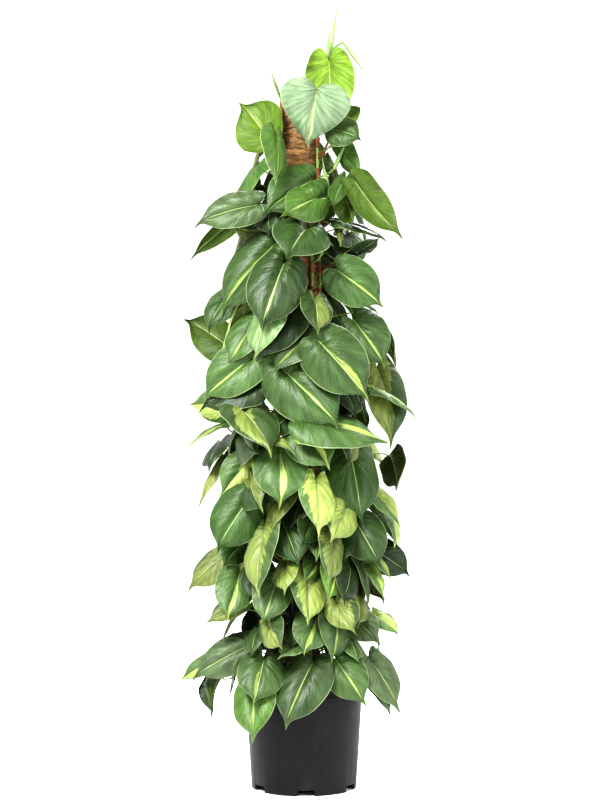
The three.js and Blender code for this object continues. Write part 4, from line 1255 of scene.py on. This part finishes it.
def fibre_tree():
    """Threads strewn over a wall, each an arc that follows the pole's roundness, tilted a little."""
    floats = [("Density", 26000.0), ("Pole Radius", 0.035), ("Thread Radius", 0.0003), ("Tilt", 0.6)]
    tree, given = node_tree("strewn_threads", floats, 3)
    radius, tilt = given["Pole Radius"], given["Tilt"]
    inputs = {"Resolution": 4, "Radius": radius, "Start Angle": -ARC_HALF, "Sweep Angle": 2 * ARC_HALF}
    thread = rope(tree, add(tree, "GeometryNodeCurveArc", inputs)[0], 3, given["Thread Radius"])
    back = add(tree, "ShaderNodeVectorMath", {0: (-1.0, 0.0, 0.0), "Scale": radius}, operation="SCALE")[0]
    centred = thread.then("GeometryNodeTransform", {"Geometry": thread, "Translation": back})

    def turn(normal):
        outward = {"axis": "X", "pivot_axis": "Z"}
        aligned = normal.then("FunctionNodeAlignRotationToVector", {"Vector": normal}, **outward)
        turned = chance(tree, tilt * -1.0, tilt, given["Seed"]).beside(0.0)
        turned = turned.then("FunctionNodeEulerToRotation", {0: turned})
        return turned.then("FunctionNodeRotateRotation", {0: aligned, 1: turned}, rotation_space="LOCAL")

    size = add(tree, "ShaderNodeCombineXYZ", {0: 1.0, 1: chance(tree, 0.55, 1.15, 11), 2: 1.0})[0]
    return strew(tree, given, centred, turn, size)


def crumb_tree():
    """Chips strewn over the soil, each a coarse lump turned and stretched its own way."""
    floats = [("Density", 24000.0), ("Smallest", 0.0012), ("Largest", 0.004)]
    tree, given = node_tree("strewn_crumbs", floats, 5)
    lump = add(tree, "GeometryNodeMeshIcoSphere", {"Radius": 1.0, "Subdivisions": 1})[0]
    form = chance(tree, (0.5, 0.5, 0.3), (1.5, 1.2, 0.8), 2)
    size = form.scaled(chance(tree, given["Smallest"], given["Largest"], 7))
    spin = chance(tree, (-0.6, -0.6, 0.0), (0.6, 0.6, 6.28), 9)
    spin = spin.then("FunctionNodeEulerToRotation", {0: spin})
    return strew(tree, given, lump, lambda normal: spin, size)


def twine_tree():
    """Twine wound up the pole as one long helix that strays a little up and down."""
    floats = [("Turns", 58.0), ("Height", TWINE_HEIGHT), ("Pole Radius", 0.0352), ("Twine Radius", 0.001)]
    tree, given = node_tree("wound_twine", floats)
    radius = given["Pole Radius"]
    inputs = {"Resolution": 30, "Rotations": given["Turns"], "Height": given["Height"]}
    inputs |= {"Start Radius": radius, "End Radius": radius}
    helix = add(tree, "GeometryNodeCurveSpiral", inputs)[0]
    drift = (add(tree, "GeometryNodeInputPosition")[0].noise(38.0, 1.0) - 0.5) * 0.016
    upward = add(tree, "ShaderNodeCombineXYZ", {2: drift})[0]
    strayed = helix.then("GeometryNodeSetPosition", {"Geometry": helix, "Offset": upward})
    return end_tree(tree, rope(tree, strayed, 5, given["Twine Radius"]), given["Material"])


def grow(name, source, tree, values):
    """Runs a node tree on a helper mesh, and keeps what comes out as a plain mesh."""
    helper = link(name + "_helper", source)
    modifier = helper.modifiers.new("grow", "NODES")
    modifier.node_group = tree
    for socket in tree.interface.items_tree:
        if socket.item_type == "SOCKET" and socket.in_out == "INPUT" and socket.name in values:
            modifier[socket.identifier] = values[socket.name]
    graph = bpy.context.evaluated_depsgraph_get()
    graph.update()
    made = bpy.data.meshes.new_from_object(helper.evaluated_get(graph))
    made.name = name
    helper.modifiers.remove(modifier)
    bpy.data.objects.remove(helper)
    return link(name, made)


# What a user may change.


def amount(name, description, default, **limits):
    return FloatProperty(name=name, description=description, default=default, **{"min": 0.0, **limits})


def length(name, description, millimetres):
    return amount(name, description, millimetres / 1000, subtype="DISTANCE", unit="LENGTH")


def fraction(name, description, default):
    return amount(name, description, default, max=1.0, subtype="FACTOR")


def whole(name, description, default, least):
    return IntProperty(name=name, description=description, default=default, min=least)


def colour(name, description, value):
    limits = {"size": 4, "min": 0.0, "max": 1.0, "subtype": "COLOR"}
    return FloatVectorProperty(name=name, description=description, default=linear(value), **limits)


class FoliageSettings(bpy.types.PropertyGroup):
    """The leaves, their stalks and the climbing stems."""

    blade_thickness: length("Blade thickness", "How thick a leaf blade is beside its midrib", 0.8)
    quilting: length("Quilting", "How far the blade swells between its side veins", 2.2)
    puff: fraction("Puff", "How far each half swells, by the blade's width", 0.06)
    wave: length("Margin wave", "How far the blade's margin waves", 2.0)
    joint_spacing: length("Joint spacing", "The distance between two joints of a climbing stem", 62)
    rows: whole("Rows", "Rows of faces along a blade", 30, 8)
    columns: whole("Columns", "Columns of faces across a blade", 18, 6)
    dark: colour("Dark green", "The upper face's main green", "#274310")
    glaucous: colour("Glaucous green", "The bluish green of paler leaves", "#6d8557")
    young: colour("Young green", "The light green of young leaves and of the band's fringe", "#54762a")
    lime: colour("Lime", "The bands' main tint", "#7d9342")
    pale_lime: colour("Pale lime", "The bands' palest tint", "#a2ae66")
    edge: colour("Midrib", "The midrib and the fine margin", "#98a47a")
    under: colour("Underside", "The lower face's main green", "#587a18")
    under_pale: colour("Pale underside", "The lower face's lighter green", "#7a962c")


class PotSettings(bpy.types.PropertyGroup):
    """The nursery container."""

    colour: colour("Plastic", "The plastic's colour", "#101010")
    roughness: fraction("Roughness", "How matt the plastic is", 0.38)


class PoleSettings(bpy.types.PropertyGroup):
    """The coir pole."""

    thread_density: amount("Threads", "Loose threads on each square metre of the sleeve", 26000.0)
    thread_radius: length("Thread radius", "Half the thickness of a loose thread", 0.32)
    twine_radius: length("Twine radius", "Half the thickness of the binding twine", 1.0)
    twine_turns: amount("Turns", "How often the twine goes round the pole", 58.0, min=1.0)
    light: colour("Light coir", "The threads that stand out", "#97744a")
    # The dark coir is the painted shade in the gaps between the threads.
    dark: colour("Dark coir", "The gaps between the threads", "#291a0a")


class SoilSettings(bpy.types.PropertyGroup):
    """The potting mix."""

    crumb_density: amount("Crumbs", "Loose crumbs on each square metre of the soil", 26000.0)
    largest: length("Largest crumb", "Half the length of the largest crumb", 3.6)


class TieSettings(bpy.types.PropertyGroup):
    """The raffia ties."""

    colour: colour("Raffia", "The ribbon's colour", "#945f33")


class StageSettings(bpy.types.PropertyGroup):
    """The floor, the light and the camera."""

    floor: colour("Floor", "The plain floor's colour", "#ffffff")
    sky: amount("Sky", "The strength of the even light all round", 1.0)
    key: amount("Key light", "The power of the large soft light at the front left", 245.0, unit="POWER")
    lens: amount("Lens", "The camera's focal length in millimetres", 101.25, min=1.0)


SETTINGS = {
    "foliage": FoliageSettings,
    "pot": PotSettings,
    "pole": PoleSettings,
    "soil": SoilSettings,
    "ties": TieSettings,
    "stage": StageSettings,
}


# What makes the pieces.


class BuildPot(bpy.types.Operator):
    """Makes the nursery container with its collar, its notched foot and its drain holes."""

    bl_idname = "philodendron.pot"
    bl_label = "Pot"

    def execute(self, context):
        settings = context.scene.philodendron_pot
        spacing = 360 / NOTCH_COUNT
        # The turns of the outline's copies from one notch to the next: dense at its edges, and even beyond.
        around = (-9.7, *range(-NOTCH_HALF, NOTCH_HALF + 1, 3), 9.7, *np.arange(13, 48, 2.9))
        turns = [NOTCH_TURN + spacing * k + turn for k in range(NOTCH_COUNT) for turn in around]
        disc, foot, body, collar, rim = DISC_RADIUS, FOOT_RADIUS, BODY_RADIUS, COLLAR_RADIUS, RIM_RADIUS
        top, seam, wall, floor_top = POT_HEIGHT, COLLAR_BOTTOM, POT_WALL, POT_FLOOR + POT_WALL
        under = [(0, 0), (disc - 1, 0), (disc + 0.6, 0.5), (disc + 14, POT_FLOOR), (foot - 3.4, POT_FLOOR)]
        ring = [(foot - 4, 0.4), (foot - 3.2, 0), (foot - 0.7, 0), (foot, 0.8)]
        outside = [
            (foot + 0.8, POT_FLOOR), (foot + 6.3, 96), (body - 0.1, seam - 0.4), (body + 1.2, seam - 0.2),
            (collar - 0.2, seam), (collar + 0.3, seam + 0.8), (collar, seam + 2.2), (collar + 0.8, top - 5.4),
            (collar + 1.4, top - 4.8), (rim - 0.3, top - 4.4), (rim, top - 3.8), (rim, top - 0.7),
            (rim - 0.7, top),
        ]
        inside = [
            (collar + 1.2 - wall, top), (collar + 0.6 - wall, top - 0.6), (body - wall, seam - 6),
            (foot + 0.9 - wall, floor_top), (disc + 15, floor_top), (disc + 1, wall), (0, wall),
        ]
        points, faces = lathe(under + ring + outside + inside, turns)
        rows = points.reshape(len(turns), -1, 3)
        for column in range(len(turns)):
            if abs(around[column % len(around)]) <= NOTCH_HALF:
                rows[column, len(under) : len(under + ring), 2] = POT_FLOOR - 0.6
        material = pot_material(settings.colour, settings.roughness)
        solid = one_shell("pot_solid", (points, faces), material, 35)
        holes = Shells()
        for k in range(NOTCH_COUNT):
            place = around_pole(NOTCH_TURN + spacing * (k + 0.5), DRAIN_RING, SOIL_TOP) * (1, 1, 0)
            path = [place + (0, 0, z) for z in (POT_FLOOR - 4, POT_FLOOR + 1, floor_top + 4)]
            holes.add(*tube(path, DRAIN_RADIUS, 24))
        cutter = holes.build("pot_holes", [])
        cut = solid.modifiers.new("drain", "BOOLEAN")
        cut.object, cut.operation, cut.solver = cutter, "DIFFERENCE", "EXACT"
        mesh = bpy.data.meshes.new_from_object(solid.evaluated_get(context.evaluated_depsgraph_get()))
        mesh.name = "nursery_pot"
        for spare in (solid, cutter):
            bpy.data.objects.remove(spare)
        finish(link("nursery_pot", mesh), "pot_plastic", "pot")
        return {"FINISHED"}


class BuildSoil(bpy.types.Operator):
    """Makes the potting mix with an uneven top, and strews bark and perlite over it."""

    bl_idname = "philodendron.soil"
    bl_label = "Potting mix"

    def execute(self, context):
        settings = context.scene.philodendron_soil
        inside = POT_WALL + 0.5
        low, floor_top = POT_WALL + GAP, POT_FLOOR + POT_WALL + GAP
        profile = [(0, low), (DISC_RADIUS + 0.4, low), (DISC_RADIUS + 14.6, floor_top)]
        profile += [(FOOT_RADIUS + 0.9 - inside, floor_top), (BODY_RADIUS - inside, COLLAR_BOTTOM - 6)]
        for radius in np.linspace(SOIL_RADIUS, 0, 34):
            dome = 1 - (radius / DOME_RADIUS) ** 4
            profile.append((radius, SOIL_EDGE + (SOIL_TOP - SOIL_EDGE) * dome))
        points, faces = lathe(profile, np.arange(0, 360, 4))
        # The top lies a little low, with room for its crumbs, and is uneven in broad and in small swells.
        top = points[:, 2] > SOIL_EDGE - 1
        points[top, 2] += 1.6 * noise_at(points[top], 0.055) + 1.0 * noise_at(points[top], 0.16, 9) - 2.2
        soil = one_shell("potting_mix_bed", (points, faces), soil_material(), 180)
        surface = skin_of(soil, "soil_surface", lambda face: face.normal.z > 0.6 and face.center.z > 0.2)
        values = {"Density": settings.crumb_density, "Largest": settings.largest}
        values |= {"Material": crumb_material()}
        crumbs = grow("potting_mix_crumbs", surface, crumb_tree(), values)
        finish(soil, "potting_mix", "potting_mix")
        finish(crumbs, "potting_mix")
        return {"FINISHED"}


class BuildPole(bpy.types.Operator):
    """Makes the wooden stake, the coir sleeve with its wraps, its twine and its loose threads."""

    bl_idname = "philodendron.pole"
    bl_label = "Coir pole"

    def execute(self, context):
        settings = context.scene.philodendron_pole
        radius, low, high = STAKE_RADIUS, STAKE_BOTTOM, STAKE_TOP
        profile = [(0, low), (radius - 1, low), (radius, low + 1)]
        profile += [(radius, z) for z in np.linspace(60, high - 60, 9)]
        profile += [(radius, high - 1.4), (radius - 1.4, high), (0, high)]
        points, faces = lathe(profile, np.arange(0, 360, 10))
        stake = one_shell("pine_stake_rod", (leaning(points), faces), wood_material(), 60)
        bore, radius, low, high = STAKE_RADIUS + GAP, COIR_RADIUS, COIR_BOTTOM, COIR_TOP
        profile = [(bore, low), (radius - 3, low)]
        profile += [(radius - 0.8, z) for z in np.arange(low + 3, high - 3, 3.2)]
        profile += [(radius - 5, high - 0.6), (bore, high - 0.6)]
        points, faces = lathe(profile, np.arange(0, 360, 5), closed=True)
        outer = np.hypot(points[:, 0], points[:, 1]) > radius - 1
        wall = points[outer]
        # The wraps stand out between narrow grooves, and wander a little up and down.
        wrap = np.abs(np.sin(math.pi * (wall[:, 2] + 5 * noise_at(wall, 0.02, 4)) / WRAP_HEIGHT)) ** 0.6
        depth = -WRAP_DEPTH * (1 - wrap) + 0.9 * noise_at(wall * (1, 1, 2.2), 0.12, 2)
        points[outer, :2] *= (1 + depth / radius)[:, None]
        coir = coir_material(settings.light, settings.dark)
        sleeve = one_shell("coir_wrap", (leaning(points), faces), coir, 80)
        values = {"Turns": settings.twine_turns, "Height": TWINE_HEIGHT}
        values |= {"Twine Radius": settings.twine_radius, "Material": coir}
        twine = grow("coir_twine", bpy.data.meshes.new("empty"), twine_tree(), values)
        places = np.empty(len(twine.data.vertices) * 3, np.float32)
        twine.data.vertices.foreach_get("co", places)
        places = leaning(places.reshape(-1, 3).astype(float) * 1000 + (0, 0, low + 12)) / 1000
        twine.data.vertices.foreach_set("co", places.astype(np.float32).ravel())

        def on_wall(face):
            x, y, z = face.center
            return math.hypot(x - axis_at(z * 1000)[0] / 1000, y) > 0.03

        values = {"Density": settings.thread_density, "Thread Radius": settings.thread_radius}
        values |= {"Material": fibre_material(settings.light)}
        threads = grow("coir_threads", skin_of(sleeve, "coir_wall", on_wall), fibre_tree(), values)
        finish(stake, "stake_wood", "pole_stake")
        finish(sleeve, "coir", "coir_sleeve")
        finish(twine, "coir")
        finish(threads, "coir")
        return {"FINISHED"}


class BuildVines(bpy.types.Operator):
    """Makes the eight climbing stems with their stalks, leaves and rolled young leaves."""

    bl_idname = "philodendron.vines"
    bl_label = "Leafy stems"

    def execute(self, context):
        settings = context.scene.philodendron_foliage
        lime = settings.lime, settings.pale_lime
        greens = settings.dark, settings.glaucous, settings.young
        unders = settings.under, settings.under_pale, settings.under_pale
        materials = [
            leaf_material("leaf_upper_skin", greens, lime, settings.edge, 0.32, 0.1),
            leaf_material("leaf_lower_skin", unders, lime, settings.edge, 0.45, 0.22),
            stem_material(),
            sheath_material(),
            spear_material(),
        ]
        vines = [Shells() for _ in VINE_TURNS]
        for index, (leaf, vine, rise) in enumerate(place_leaves()):
            add_blade(vines[vine], leaf, index + 1, settings)
            add_petiole(vines[vine], leaf, vine, rise)
        for index, row in enumerate(SPEARS + SHEATHS):
            add_spear(vines, row, index)
        for vine, shells in enumerate(vines):
            add_stem(shells, vine, settings.joint_spacing * 1000)
            made = shells.build(f"leafy_stem_{vine + 1}", materials, patterned=True)
            finish(made, "foliage", f"vine_{vine + 1}")
        return {"FINISHED"}


class BuildTies(bpy.types.Operator):
    """Makes the raffia ribbons that hold the right-hand stem to the coir."""

    bl_idname = "philodendron.ties"
    bl_label = "Ties"

    def execute(self, context):
        material = tie_material(context.scene.philodendron_ties.colour)
        # The ribbon's section, as shares of its thickness outwards and of half its width upwards.
        section = (
            (0.1, -1.0), (0.55, -0.96), (0.95, -0.5), (0.7, 0.0), (1.0, 0.5), (0.6, 0.96), (0.1, 1.0),
            (0.0, 0.4), (0.05, -0.4),
        )
        half, sides = math.radians(TIE_HALF), len(section)
        for index, z in enumerate(TIE_HEIGHTS):
            seat, axis = stem_point(TIE_VINE, z), axis_at(z)
            middle = math.atan2(seat[1] - axis[1], seat[0] - axis[0])
            turns = middle + np.linspace(-half, half, 25)
            ring, values = [], []
            for k, turn in enumerate(turns):
                way = np.array([math.cos(turn), math.sin(turn), 0])
                slope = 1.2 * math.sin(k * 0.9 + index)
                for out, high in section:
                    rise = high * (TIE_WIDTH / 2 - 0.2) * (0.85 + 0.1 * math.cos(k)) + 0.2 * slope
                    ring.append(seat + way * (STEM_RADIUS + TIE_ROOM + out * TIE_THICKNESS) + (0, 0, rise))
                    values.append((high, k / 3, index))
            last = (len(turns) - 1) * sides
            faces = [face[::-1] for face in ring_faces(len(turns), sides)]
            faces += [tuple(range(sides)), tuple(range(last, last + sides))[::-1]]
            shells = Shells()
            shells.add(ring, faces, 0, np.array(values))
            made = shells.build(f"raffia_tie_{index + 1}", [material], patterned=True)
            finish(made, "tie_ribbon", f"tie_{index + 1}")
        return {"FINISHED"}


class BuildStage(bpy.types.Operator):
    """Makes the plain floor, the soft light and the camera."""

    bl_idname = "philodendron.stage"
    bl_label = "Stage"

    def execute(self, context):
        scene, settings = context.scene, context.scene.philodendron_stage
        mesh = bpy.data.meshes.new("studio_floor")
        reach = 30
        corners = [(x * reach, y * reach, -0.0005) for x, y in ((-1, -1), (1, -1), (1, 1), (-1, 1))]
        mesh.from_pydata(corners, [], [(0, 1, 2, 3)])
        mesh.materials.append(close_material(new_material("painted_studio_floor"), settings.floor, 0.9))
        link("studio_floor", mesh)
        world = bpy.data.worlds.new("even_white_sky")
        world.use_nodes = True
        sky = world.node_tree.nodes["Background"].inputs
        sky["Color"].default_value = (1.0, 1.0, 1.0, 1.0)
        sky["Strength"].default_value = settings.sky
        scene.world = world
        lamps = (
            ("key_light", (-1.5, -2.4, 3.2), 1.3, settings.key),
            ("fill_light", (2.4, -2.2, 1.9), 1.8, settings.key * 0.22),
            ("back_light", (0.8, 2.6, 2.9), 1.6, settings.key * 0.5),
        )
        for name, place, size, power in lamps:
            lamp = bpy.data.lights.new(name, "AREA")
            lamp.energy, lamp.size = power, size
            aim(link(name, lamp), place, (0, 0, 0.75))
        camera = bpy.data.cameras.new("camera")
        camera.lens, camera.sensor_width = settings.lens, 36
        camera.clip_start, camera.clip_end = 0.1, 60
        scene.camera = aim(link("camera", camera), (0, -4.5, 0.9), (-0.008, 0, 0.776))
        scene.view_settings.view_transform = "Standard"
        scene.view_settings.look = "High Contrast"
        return {"FINISHED"}


def aim(made, place, target):
    """Stands a lamp or the camera at a place, turned to a target."""
    made.location = place
    made.rotation_euler = (Vector(target) - made.location).to_track_quat("-Z", "Y").to_euler()
    return made


BUILDERS = (BuildStage, BuildPot, BuildSoil, BuildPole, BuildVines, BuildTies)


class PlantPanel(bpy.types.Panel):
    """Lists the pieces that can be built and the sizes and colours that they take."""

    bl_idname = "VIEW3D_PT_philodendron"
    bl_label = "Potted philodendron"
    bl_space_type = "VIEW_3D"
    bl_region_type = "UI"
    bl_category = "Plant"

    def draw(self, context):
        for key, group in SETTINGS.items():
            box = self.layout.box()
            box.label(text=group.__doc__)
            for name in group.__annotations__:
                box.prop(getattr(context.scene, "philodendron_" + key), name)
        for builder in BUILDERS:
            self.layout.operator(builder.bl_idname)


CLASSES = (*SETTINGS.values(), *BUILDERS, PlantPanel)


def register():
    for each in CLASSES:
        bpy.utils.register_class(each)
    for key, group in SETTINGS.items():
        setattr(bpy.types.Scene, "philodendron_" + key, PointerProperty(type=group))


def unregister():
    for key in SETTINGS:
        delattr(bpy.types.Scene, "philodendron_" + key)
    for each in reversed(CLASSES):
        bpy.utils.unregister_class(each)


def main():
    register()
    for builder in BUILDERS:
        group, name = builder.bl_idname.split(".")
        getattr(getattr(bpy.ops, group), name)()


if __name__ == "__main__":
    main()
